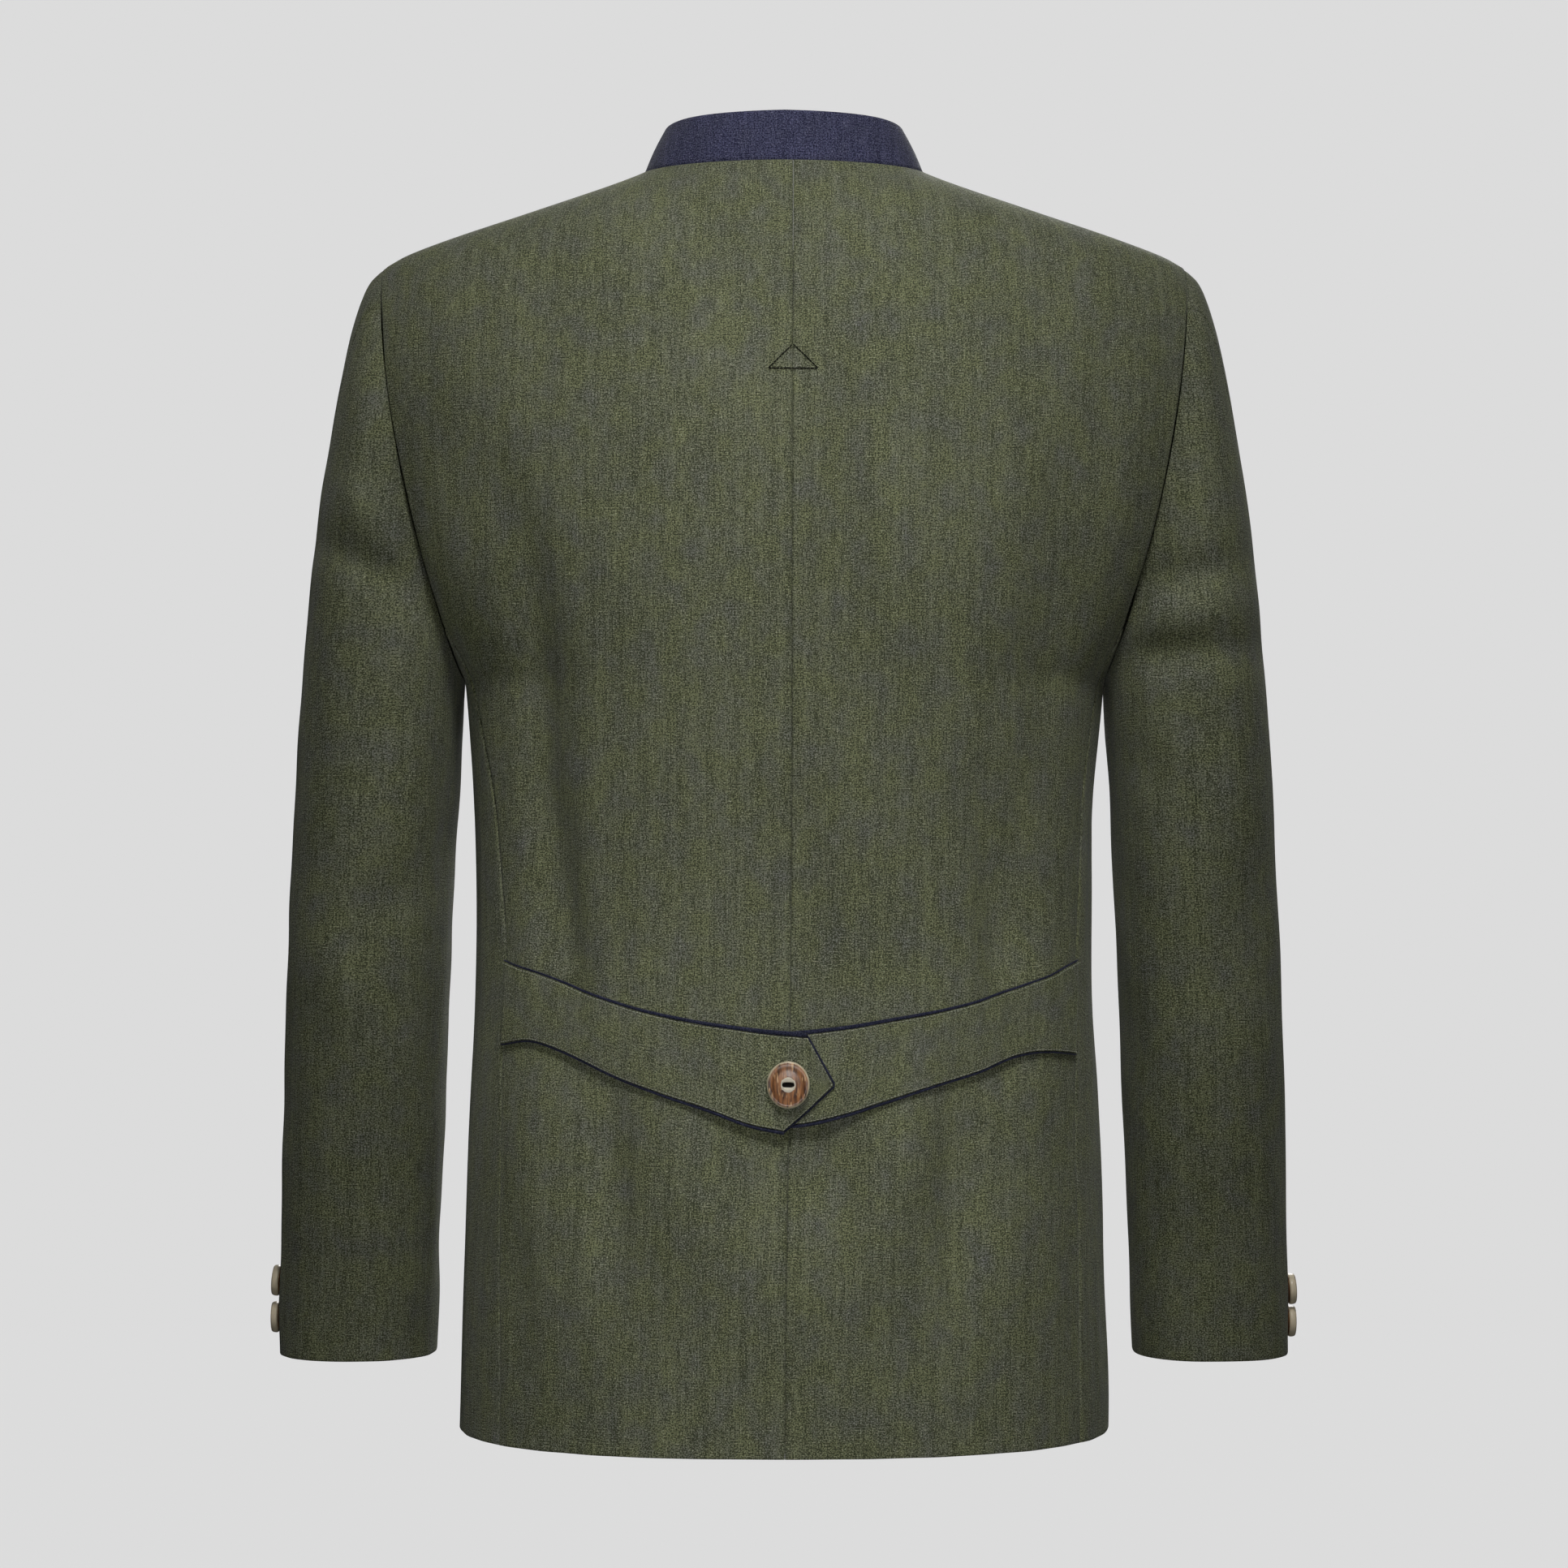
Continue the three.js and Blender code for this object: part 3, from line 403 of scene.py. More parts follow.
BACK_CREASES = folds(
    ((-34, -125), (-33, -230), (-34, -350), 15, -8.5),
    ((-57, -170), (-57, -300), (-60, -410), 12, 3.2),
    ((-14, -370), (-19, -480), (-20, -560), 21, -10),
    ((-112, -350), (-122, -440), (-118, -512), 13, -8.5),
    ((141, -240), (137, -350), (122, -440), (118, -507), 13, -8),
    ((58, -505), (52, -560), (46, -600), 13, 3.0),
    ((-16, -536), (-26, -600), 18, -7),
    ((-62, -505), (-62, -560), (-50, -620), 12, 3.4),
    ((95, -520), (94, -620), 12, -6),
    ((-96, -520), (-94, -620), 12, -6),
    ((75, -614), (0, -606), (-80, -614), 38, 3.2),
    ((146, -520), (142, -600), 10, 1.6),
    ((146, -600), (140, -680), 9, -1.8),
    ((-147, -600), (-147, -668), 9, 1.4),
    ((118, -118), (152, -142), 12, -1.0),
    ((-126, -112), (-158, -140), 12, -0.9),
    ((64, -22), (104, -38), (150, -52), 9, -0.7),
    ((-62, -24), (-110, -42), 9, -0.6),
    ((152, -396), (128, -428), 7, -0.9),
    ((-150, -404), (-128, -432), 8, -0.9),
)
FRONT_CREASES = folds(
    ((150, -120), (118, -176), 12, -1.1),
    ((-148, -124), (-120, -168), 11, -1.0),
    ((140, -404), (98, -418), 9, -0.9),
    ((-138, -398), (-92, -422), 9, -0.9),
    ((128, -540), (134, -690), 12, -1.6),
    ((-124, -560), (-132, -694), 12, -1.4),
    ((34, -40), (70, -86), 11, -0.6),
)
# the belt bridges the narrow troughs under it
BRIDGED_SHARE = 0.45
BELT_FOLDS = BACK_FOLDS + tuple(
    replace(crease, depth=crease.depth * (1 if crease.depth > 0 else BRIDGED_SHARE))
    for crease in BACK_CREASES
)
LEFT_SLEEVE_BACK = folds(
    ((256, -215), (220, -233), (202, -256), 10, -6.5),
    ((214, -170), (200, -224), (185, -268), 11, -6),
    ((250, -186), (216, -212), 13, 4.2),
    ((268, -425), (232, -490), 20, 3),
    ((200, -395), (232, -430), 14, -4),
    ((240, -171), (212, -190), 8, -3),
    ((185, -346), (192, -409), 8, -2.8),
    ((189, -423), (194, -455), 6, -1.2),
    ((264, -446), (237, -482), 9, 0.9),
    ((206, -300), (226, -326), 10, -2.0),
    ((276, -540), (262, -600), 9, -0.8),
)
RIGHT_SLEEVE_BACK = folds(
    ((188, -243), (219, -236), (254, -224), 11, -6),
    ((212, -176), (199, -226), (184, -268), 10, -5),
    ((198, -260), (256, -249), 13, 4.5),
    ((188, -279), (219, -276), (262, -274), 11, -5),
    ((262, -390), (240, -480), 18, -4),
    ((236, -186), (254, -180), 8, 1.0),
    ((259, -387), (268, -477), 9, -2.0),
    ((196, -330), (214, -352), 9, -2.0),
    ((196, -404), (210, -436), 7, -1.0),
    ((274, -560), (258, -612), 9, -0.7),
)
LEFT_SLEEVE_FRONT = folds(
    ((198, -330), (240, -400), 16, -3.5),
    ((200, -430), (250, -445), 15, -3),
    ((206, -384), (252, -418), 9, 1.2),
    ((204, -478), (238, -492), 9, -1.2),
    ((246, -206), (220, -238), 10, -1.5),
)
RIGHT_SLEEVE_FRONT = folds(
    ((200, -345), (246, -395), 16, -3.5),
    ((200, -440), (252, -430), 15, -3),
    ((208, -392), (250, -412), 9, 1.1),
    ((206, -486), (244, -474), 9, -1.1),
    ((248, -214), (218, -232), 10, -1.4),
)


# ---- The body's form ---------------------------------------------------------

@dataclass(frozen=True)
class BodyForm:
    """The body of the jacket: level sections, angle 0 at the centre back, 90 degrees at the left."""

    back_folds: tuple = BACK_FOLDS + BACK_CREASES
    front_folds: tuple = FRONT_FOLDS + FRONT_CREASES
    rumple: Rumple | None = field(default_factory=Rumple)
    back: Curve = Curve(BODY, 1)
    front: Curve = Curve(BODY, 2)
    power: Curve = Curve(BODY, 3)
    shoulder: Curve = Curve(SHOULDER)
    sides: Curve = Curve(SIDES)
    centre_seam: Curve = Curve(CENTRE_BACK_SEAM)

    def smooth(self) -> "BodyForm":
        """The same body with no fold in it, as its pieces are cut."""
        return replace(self, back_folds=(), front_folds=(), rumple=None)

    @staticmethod
    def armhole_x(z: Array) -> Array:
        """How far out the armhole lies at each height, seen from behind, in mm."""
        u = (z - ARMHOLE_MIDDLE[1]) / ARMHOLE_HALF[1]
        return ARMHOLE_MIDDLE[0] + ARMHOLE_HALF[0] * u + ARMHOLE_BOW * (1 - u * u)

    @staticmethod
    def armhole_depth(z: Array) -> Array:
        """How far behind the middle the armhole's edge lies at each height, in mm."""
        u = (z - ARMHOLE_MIDDLE[1]) / ARMHOLE_HALF[1]
        inside = 1 - np.minimum(1, np.abs(u)) ** ARMHOLE_POWER
        return ARMHOLE_HALF_DEPTH * inside ** (1 / ARMHOLE_POWER)

    def half_width(self, z: Array) -> Array:
        """Half width of the section at each height.

        Args:
            z: Heights, in mm.

        Returns:
            Half widths, in mm.
        """
        z = np.asarray(z, dtype=float)
        power = self.power(z)
        share = np.minimum(BROADEST, self.armhole_depth(z) / self.back(z)) ** power
        between = self.armhole_x(z) / (1 - share) ** (1 / power)
        below = np.where(z <= UNDERARM[1], self.sides(z), between)
        return np.where(z >= SHOULDER_TIP[1], self.shoulder(z), below)

    def point(self, angle: Array, z: Array) -> Array:
        """The outer face of the cloth.

        Args:
            angle: Angles round the body, in radians.
            z: Heights, in mm.

        Returns:
            Points, in mm.
        """
        angle, z = floats(angle, z)
        power, half = self.power(z), self.half_width(z)
        sine, cosine = np.sin(angle), np.cos(angle)
        behind = cosine >= 0
        depth = np.where(behind, self.back(z), self.front(z))
        x = half * signed_power(sine, 2 / power)
        y = depth * signed_power(cosine, 2 / power)
        out_x = signed_power(sine, 2 - 2 / power) / half
        out_y = signed_power(cosine, 2 - 2 / power) / depth
        length = np.hypot(out_x, out_y)
        lift = folds_lift(self, behind, x, z) * np.minimum(1, SIDE_FADE * np.abs(y) / depth)
        if self.rumple:
            lift = lift + self.rumple.lift(angle * BODY_RADIUS, z) * np.clip(-z / RUMPLE_START, 0, 1)
        return np.stack([x + lift * out_x / length, y + lift * out_y / length, z], axis=-1)

    def normal(self, angle: Array, z: Array) -> Array:
        """The way out of the body's surface.

        Args:
            angle: Angles round the body, in radians.
            z: Heights, in mm.

        Returns:
            Unit normals.
        """
        angle, z = floats(angle, z)
        level = np.clip(z, HEM_Z + BODY_STEPS[1], -BODY_STEPS[1])
        inside = np.stack([0 * level, 0 * level, level - INSIDE_BELOW], axis=-1)
        return surface_normal(self.point, angle, level, BODY_STEPS, inside)

    def angle_at(self, x: Array, z: Array, front: bool = False) -> Array:
        """The angle at which a level section is x from the middle plane.

        Args:
            x: Sideways places, in mm.
            z: Heights, in mm.
            front: Whether the front of the section is meant.

        Returns:
            Signed angles, in radians.
        """
        share = np.minimum(1, np.abs(x) / self.half_width(z))
        turn = np.arcsin(share ** (self.power(z) / 2))
        return np.where(np.asarray(x) < 0, -1, 1) * (math.pi - turn if front else turn)

    def edge_angle(self, z: Array, side: Side, front: bool) -> Array:
        """Outer edge of a back or front: shoulder seam, armhole, then side seam.

        Args:
            z: Heights, in mm.
            side: The wearer's side.
            front: Whether it is a front.

        Returns:
            Unsigned angles, in radians.
        """
        z = np.asarray(z, dtype=float)
        column = 3 if front else (1 if side is Side.LEFT else 2)
        seam = self.angle_at(Curve(SIDE_SEAMS, column)(z), z, front)
        armhole = self.angle_at(self.armhole_x(z), z, front)
        below = np.where(z > SIDE_SEAM_TOP_Z, armhole, seam)
        return np.where(z >= SHOULDER_TIP[1], math.pi / 2, below)

    def on_back(self, x: Array, z: Array, lift: Array | float) -> Array:
        """Points of the back, stood off it.

        Args:
            x: Sideways places, in mm.
            z: Heights, in mm.
            lift: How far off the cloth, in mm.

        Returns:
            Points, in mm.
        """
        x, z, lift = floats(x, z, lift)
        angle = self.angle_at(x, z)
        return self.point(angle, z) + lift[..., None] * self.normal(angle, z)

    def neck_point(self, degrees: Array) -> Array:
        """The neck's seam line.

        Args:
            degrees: Signed angles round the neck.

        Returns:
            Points, in mm.
        """
        degrees = np.asarray(degrees, dtype=float)
        turn = np.radians(np.abs(degrees))
        share = np.sin(turn)
        z = np.where(turn <= math.pi / 2, 0.0, -NECK_FRONT_DROP * (1 - share ** NECK_CURVE_POWER))
        hind = turn <= math.pi / 2
        angle = np.where(hind, turn, self.angle_at(NECK_HALF_WIDTH * share, z, True))
        return self.point(np.where(degrees < 0, -1, 1) * angle, z)


# ---- The sleeves' form -------------------------------------------------------

@dataclass(frozen=True)
class SleeveForm:
    """One sleeve: rings round the arm, angle 0 at the outer edge and 90 degrees behind."""

    side: Side
    back_folds: tuple = ()
    front_folds: tuple = ()
    rumple: Rumple | None = None
    body: BodyForm = field(default_factory=BodyForm)

    def smooth(self) -> "SleeveForm":
        """The same sleeve with no fold in it, as its pieces are cut."""
        return replace(self, back_folds=(), front_folds=(), rumple=None)

    def point(self, angle: Array, ring: Array) -> Array:
        """The outer face of the sleeve's cloth.

        Args:
            angle: Angles round the sleeve, in radians.
            ring: Ring numbers, 0 at the armhole.

        Returns:
            Points, in mm.
        """
        angle, ring = floats(angle, ring)
        out_x, out_z, in_x, in_z, mid_y, back, front, bow = (
            Curve(SLEEVE, column)(ring) for column in range(1, 9)
        )
        u = signed_power(np.cos(angle), 2 / SLEEVE_POWER)
        v = signed_power(np.sin(angle), 2 / SLEEVE_POWER)
        half = np.where(v >= 0, back, front)
        x = (out_x + in_x) / 2 + u * (out_x - in_x) / 2 + bow * (1 - u * u)
        z = (out_z + in_z) / 2 + u * (out_z - in_z) / 2
        place = np.stack([x, mid_y + v * half, z], axis=-1)
        fit = np.clip(1 - ring / SLEEVE_FIT_RINGS, 0, 1)[..., None]
        place = place + fit * self.armhole_fit(u, v)
        lift = folds_lift(self, v >= 0, x, z) * np.minimum(1, SLEEVE_SIDE_FADE * np.abs(v))
        if self.rumple:
            share = np.clip(ring / SLEEVE_RUMPLE_RINGS, 0, 1)
            lift = lift + self.rumple.lift(angle * SLEEVE_RADIUS, z) * share
        outwards = unit(np.stack([u * (out_x - in_x), 2 * v * half, u * (out_z - in_z)], axis=-1))
        return (place + lift[..., None] * outwards) * np.array([self.side.value, 1, 1])

    def armhole_fit(self, u: Array, v: Array) -> Array:
        """What brings the first ring onto the armhole, just outside the body's edge.

        Args:
            u: Place along the ring's height, -1 to 1.
            v: Place along its depth, -1 to 1.

        Returns:
            Displacements, in mm.
        """
        z = ARMHOLE_MIDDLE[1] + ARMHOLE_HALF[1] * u
        face = np.where(v >= 0, 1.0, self.body.front(z) / self.body.back(z))
        table = np.abs(v) * np.where(v >= 0, SLEEVE[0][6], SLEEVE[0][7])
        slant = math.atan2(*ARMHOLE_HALF)
        shift_y = np.sign(v) * (self.body.armhole_depth(z) * face - table)
        along = np.full(np.shape(shift_y), SLEEVE_TOP_GAP)
        return np.stack([along * math.cos(slant), shift_y, -along * math.sin(slant)], axis=-1)

    def normal(self, angle: Array, ring: Array) -> Array:
        """The way out of the sleeve's surface.

        Args:
            angle: Angles round the sleeve, in radians.
            ring: Ring numbers.

        Returns:
            Unit normals.
        """
        within = np.clip(ring, SLEEVE_STEPS[1], SLEEVE[-1][0] - SLEEVE_STEPS[1])
        middle = (self.point(0 * angle, within) + self.point(0 * angle + math.pi, within)) / 2
        return surface_normal(self.point, angle, within, SLEEVE_STEPS, middle)

    def ring_at(self, z: float) -> float:
        """The ring number of a level of the lower sleeve."""
        rows = tuple((row[2], row[0]) for row in SLEEVE)
        return float(Curve(rows)(z))


# ---- Finishes ----------------------------------------------------------------

def operator(operation: str, swapped: bool = False) -> Callable[["Value", "Value | float"], "Value"]:
    """Make an arithmetic method that adds a maths node.

    Args:
        operation: The node's operation.
        swapped: Whether the value itself stands on the right.

    Returns:
        The method.
    """
    def method(self: "Value", other: "Value | float") -> "Value":
        """Add the node and give its output."""
        left, right = (other, self) if swapped else (self, other)
        return self.shader.add("ShaderNodeMath", {0: left, 1: right}, operation=operation)

    return method


class Value:
    """A shader output on which Python's arithmetic adds maths nodes."""

    def __init__(self, shader: "Shader", socket: bpy.types.NodeSocket) -> None:
        """Wrap an output of a shader."""
        self.shader = shader
        self.socket = socket

    __add__, __radd__ = operator("ADD"), operator("ADD", swapped=True)
    __sub__, __rsub__ = operator("SUBTRACT"), operator("SUBTRACT", swapped=True)
    __mul__, __truediv__, __pow__ = operator("MULTIPLY"), operator("DIVIDE"), operator("POWER")

    def clamped(self) -> "Value":
        """The value held between 0 and 1."""
        return self.shader.add("ShaderNodeClamp", {"Value": self})


class Shader:
    """A node material with one Principled surface, built in code."""

    def __init__(self, name: str) -> None:
        """Start an empty material.

        Args:
            name: The material's name.
        """
        self.material = bpy.data.materials.new(name)
        self.material.use_nodes = True
        self.tree = self.material.node_tree
        self.tree.nodes.clear()
        self.surface = self.tree.nodes.new("ShaderNodeBsdfPrincipled")
        output = self.tree.nodes.new("ShaderNodeOutputMaterial")
        self.tree.links.new(self.surface.outputs["BSDF"], output.inputs["Surface"])

    def feed(self, socket: bpy.types.NodeSocket, value: "Value | float | tuple") -> None:
        """Link a shader output to an input, or set a constant."""
        if isinstance(value, Value):
            self.tree.links.new(value.socket, socket)
        else:
            socket.default_value = value

    def add(self, kind: str, inputs: dict | None = None, output: int | str = 0, **settings: object) -> Value:
        """Add any node.

        Args:
            kind: The node's type.
            inputs: What each input takes, by name or number.
            output: The output that is wanted.
            **settings: The node's own settings.

        Returns:
            The output, ready for arithmetic.
        """
        node = self.tree.nodes.new(kind)
        for name, setting in settings.items():
            setattr(node, name, setting)
        for name, value in (inputs or {}).items():
            self.feed(node.inputs[name], value)
        return Value(self, node.outputs[output])

    def flat_axes(self) -> tuple[Value, Value]:
        """The cloth's own axes, in metres across it and along it."""
        flat = self.add("ShaderNodeUVMap", uv_map=FLAT_MAP)
        return (
            self.add("ShaderNodeSeparateXYZ", {0: flat}, output=0),
            self.add("ShaderNodeSeparateXYZ", {0: flat}, output=1),
        )

    def noise(self, x: Value, y: Value, detail: float = 1.0, seed: float = 0.0) -> Value:
        """Soft noise around 0, for coordinates already scaled.

        Args:
            x: First coordinate.
            y: Second coordinate.
            detail: How much fine detail it has.
            seed: A place of its own in the noise.

        Returns:
            The noise, from about -0.35 to 0.35.
        """
        place = self.add("ShaderNodeCombineXYZ", {0: x, 1: y, 2: seed})
        inputs = {"Vector": place, "Scale": 1.0, "Detail": detail}
        return self.add("ShaderNodeTexNoise", inputs) - 0.5

    def mix(self, share: Value | float, first: Value | tuple, second: Value | tuple) -> Value:
        """Mix two colours by the second's share, 0 to 1."""
        inputs = {0: share, 6: first, 7: second}
        return self.add("ShaderNodeMix", inputs, output=2, data_type="RGBA", clamp_factor=True)

    def finish(self, **inputs: object) -> bpy.types.Material:
        """Feed the surface and give the material.

        Args:
            **inputs: The surface's inputs, with _ for each space in a name.

        Returns:
            The material.
        """
        for name, value in inputs.items():
            self.feed(self.surface.inputs[name.replace("_", " ")], value)
        return self.material


FLAT_MAP = "flat"


def colour(red: float, green: float, blue: float) -> tuple[float, float, float, float]:
    """A colour for a socket, with full alpha."""
    return (red, green, blue, 1.0)


@dataclass(frozen=True)
class LinenFinish:
    """Plain-weave linen: uneven threads both ways, cloudy dye and pale flecks."""

    name: str
    dark: tuple
    light: tuple
    cloud: tuple
    fleck: tuple
    thread: float = 1.7
    cloudy: float = 2.6
    relief: float = 0.00034

    def material(self) -> bpy.types.Material:
        """Build the material.

        Returns:
            The material, on the cloth's own axes.
        """
        shader = Shader(self.name)
        across, along = shader.flat_axes()
        # each noise: features per metre across and along, detail, and its place in the noise
        weft = shader.noise(across * 190, along * 1300, 1.0)
        warp = shader.noise(across * 1300, along * 90, 1.0, 5.0)
        thick_weft = shader.noise(across * 70, along * 900, 1.0, 9.0)
        thick = thick_weft + shader.noise(across * 800, along * 22, 1.0, 13.0)
        grain = shader.noise(across * 1230, along * 1280, 2.0, 17.0)
        clouds = shader.noise(across * 70, along * 50, 3.0, 21.0)
        patches = shader.noise(across * 15, along * 11, 1.0, 27.0)
        lines = shader.noise(across * 240, along * 8, 2.0, 31.0)
        threads = (weft * 0.6 + warp * 0.7) * self.thread + thick * 0.35 + grain * 5.2
        tone = (threads + patches * 0.3 + lines * 0.65 + 0.5).clamped()
        base = shader.mix((clouds * self.cloudy + 0.3).clamped(), colour(*self.light), colour(*self.cloud))
        base = shader.mix(tone, colour(*self.dark), base)
        flecks = ((grain + weft * 0.4 + warp * 0.2 - 0.15) * 9.0).clamped()
        base = shader.mix(flecks, base, colour(*self.fleck))
        height = (weft + warp) * 0.8 + thick * 0.7 + grain * 1.1
        inputs = {"Height": height, "Distance": self.relief, "Strength": 0.9}
        bump = shader.add("ShaderNodeBump", inputs, output="Normal")
        return shader.finish(
            Base_Color=base, Roughness=0.9 - tone * 0.12, Normal=bump,
            Specular_IOR_Level=0.18, Sheen_Weight=0.16, Sheen_Roughness=0.42,
            Sheen_Tint=colour(0.78, 0.8, 0.72),
        )


@dataclass(frozen=True)
class HornFinish:
    """Stag horn: brown and grained on its face, cream where the rim is polished through."""

    name: str
    radius: float
    narrow: float = 1.0
    dark: tuple = (0.05, 0.016, 0.006)
    brown: tuple = (0.36, 0.145, 0.045)
    fleck: tuple = (0.62, 0.38, 0.18)
    cream: tuple = (0.74, 0.64, 0.46)

    def material(self) -> bpy.types.Material:
        """Build the material.

        Returns:
            The material, on the button's own face.
        """
        shader = Shader(self.name)
        across, along = shader.flat_axes()
        streak = shader.noise(across * 520, along * 95, 3.0)
        fleck = shader.noise(across * 640, along * 130, 2.0, 7.0)
        cloud = shader.noise(across * 130, along * 80, 1.0, 11.0)
        wide = across / (self.narrow * self.radius * MM)
        high = along / (self.radius * MM)
        reach = (wide * wide + high * high) ** 0.5
        grain = (streak * 4.2 + cloud * 1.6 + 0.5).clamped()
        base = shader.mix(grain, colour(*self.dark), colour(*self.brown))
        base = shader.mix(((fleck - 0.08) * 9.0).clamped(), base, colour(*self.fleck))
        rim = ((reach + streak * 0.12 - 0.90) * 16.0).clamped()
        base = shader.mix(rim, base, colour(*self.cream))
        inputs = {"Height": streak + fleck, "Distance": 0.00015, "Strength": 0.5}
        bump = shader.add("ShaderNodeBump", inputs, output="Normal")
        return shader.finish(
            Base_Color=base, Roughness=0.34 + streak * 0.25, Normal=bump,
            Specular_IOR_Level=0.45, Coat_Weight=0.25, Coat_Roughness=0.25,
        )


@dataclass(frozen=True)
class PlainFinish:
    """A plain surface with a slight mottle: bone, thread, or the studio's paper."""

    name: str
    tone: tuple
    rough: float = 0.8
    mottle: float = 0.25
    scale: float = 900.0
    glow: float = 0.0
    lit_share: float = 0.08

    def material(self) -> bpy.types.Material:
        """Build the material.

        Returns:
            The material, on the object's own coordinates.
        """
        shader = Shader(self.name)
        place = shader.add("ShaderNodeTexCoord", output="Object")
        spots = shader.add("ShaderNodeTexNoise", {"Vector": place, "Scale": self.scale, "Detail": 2.0}) - 0.5
        body = self.lit_share if self.glow else 1.0
        dark = tuple(channel * body * (1 - self.mottle) for channel in self.tone)
        light = tuple(min(1.0, channel * body * (1 + self.mottle)) for channel in self.tone)
        base = shader.mix((spots * 2.0 + 0.5).clamped(), colour(*dark), colour(*light))
        glowing = {"Emission_Color": colour(*self.tone), "Emission_Strength": self.glow} if self.glow else {}
        return shader.finish(Base_Color=base, Roughness=self.rough, Specular_IOR_Level=0.2, **glowing)


GREEN = LinenFinish(
    "green_linen", (0.048, 0.054, 0.030), (0.235, 0.252, 0.135),
    (0.200, 0.206, 0.186), (0.42, 0.43, 0.31),
)
NAVY = LinenFinish(
    "navy_linen", (0.015, 0.016, 0.043), (0.100, 0.103, 0.190),
    (0.082, 0.085, 0.138), (0.21, 0.21, 0.29),
)
# navy piping darker than the collar's navy linen: its own navy tone with painted shade along the belt's edges
SHADED_PIPING = LinenFinish(
    "navy_piping", (0.008, 0.010, 0.024), (0.036, 0.039, 0.078),
    (0.030, 0.032, 0.055), (0.08, 0.08, 0.12),
)
# pale thread of the belt's edge stitches: partly its own pale tone, partly painted highlight along the folded
# edge
EDGE_THREAD_AND_HIGHLIGHT = PlainFinish("edge_thread", (0.40, 0.41, 0.32), 0.75)
NAVY_THREAD = PlainFinish("navy_thread", (0.10, 0.10, 0.16), 0.75)
# near-black thread of the pleat triangle and buttonholes: its own dark green with painted shade of the stitch
# grooves
GREEN_THREAD_AND_SHADE = PlainFinish("green_thread", (0.010, 0.011, 0.007), 0.75)
BONE = PlainFinish("bone", (0.66, 0.60, 0.48), 0.45, 0.12, 500.0)
DARK_SLOT = PlainFinish("slot_shade", (0.006, 0.005, 0.004), 0.9)


# ---- Cloth -------------------------------------------------------------------

def stations(length: float, step: float, fine: tuple[bool, bool] = (True, True)) -> Array:
    """Places from 0 to 1 along an edge, close together near its finished ends.

    Args:
        length: The edge's length, in mm.
        step: The usual spacing, in mm.
        fine: Whether the first and the last end are finished.

    Returns:
        The places, rising.
    """
    first = EDGE_LEAD if fine[0] else (0.0,)
    last = [length - place for place in reversed(EDGE_LEAD)] if fine[1] else [length]
    count = max(1, round((last[0] - first[-1]) / step))
    middle = np.linspace(first[-1], last[0], count + 1)
    return np.concatenate((first[:-1], middle, last[1:])) / length


def new_object(name: str, mesh: bmesh.types.BMesh) -> bpy.types.Object:
    """Turn a mesh under construction into a smooth object of the scene.

    Args:
        name: The object's name.
        mesh: Its mesh, which is used up.

    Returns:
        The new object, at the origin.
    """
    for face in mesh.faces:
        face.smooth = True
    data = bpy.data.meshes.new(name)
    mesh.to_mesh(data)
    mesh.free()
    made = bpy.data.objects.new(name, data)
    bpy.context.scene.collection.objects.link(made)
    return made


def grid_mesh(name: str, points: Array, flat: Array, wrap: bool = False) -> bpy.types.Object:
    """Make a mesh of a grid of points, with the cloth's flat axes as its UV map.

    Args:
        name: The piece's name.
        points: Rows by columns of points, in mm.
        flat: Rows by columns of flat places, in mm.
        wrap: Whether the last column meets the first.

    Returns:
        The new object, at the origin.
    """
    rows, columns = points.shape[:2]
    mesh = bmesh.new()
    bmesh.ops.create_grid(mesh, x_segments=columns - 1, y_segments=rows - 1, size=1.0)
    layer = mesh.loops.layers.uv.new(FLAT_MAP)
    order = {}
    for vertex in mesh.verts:
        j = round((vertex.co.x + 1) / 2 * (columns - 1))
        i = round((vertex.co.y + 1) / 2 * (rows - 1))
        order[vertex] = (i, j)
    for face in mesh.faces:
        for loop in face.loops:
            loop[layer].uv = flat[order[loop.vert]] * MM
    for vertex, place in order.items():
        vertex.co = Vector(points[place] * MM)
    if wrap:
        bmesh.ops.remove_doubles(mesh, verts=mesh.verts, dist=1e-6)
    return new_object(name, mesh)


def arc_lengths(points: Array, axis: int) -> Array:
    """Lengths along the lines of a grid, from their first point.

    Args:
        points: Rows by columns of points.
        axis: 0 down the columns, 1 along the rows.

    Returns:
        The length at each point.
    """
    steps = np.linalg.norm(np.diff(points, axis=axis), axis=-1)
    start = np.zeros_like(np.take(steps, [0], axis=axis))
    return np.concatenate((start, np.cumsum(steps, axis=axis)), axis=axis)


def round_lengths(points: Array) -> Array:
    """Lengths round a sleeve from the middle of its back, read from the angle about its middle.

    Args:
        points: A grid of points on the sleeve.

    Returns:
        For each point its length round, in mm.
    """
    table = np.array(SLEEVE)
    arm = table[SLEEVE_HEAD_RINGS:]
    depth = -points[..., 2]
    outer = np.interp(depth, -table[:, 2], table[:, 1])
    inner, middle_y, half_y = (np.interp(depth, -arm[:, 4], arm[:, column]) for column in (3, 5, 6))
    half_x = (np.interp(depth, -arm[:, 2], arm[:, 1]) - inner) / 2
    angle = np.arctan2(points[..., 1] - middle_y, np.abs(points[..., 0]) - (outer + inner) / 2)
    return (half_x + half_y) / 2 * (np.unwrap(angle, axis=1) - math.pi / 2)


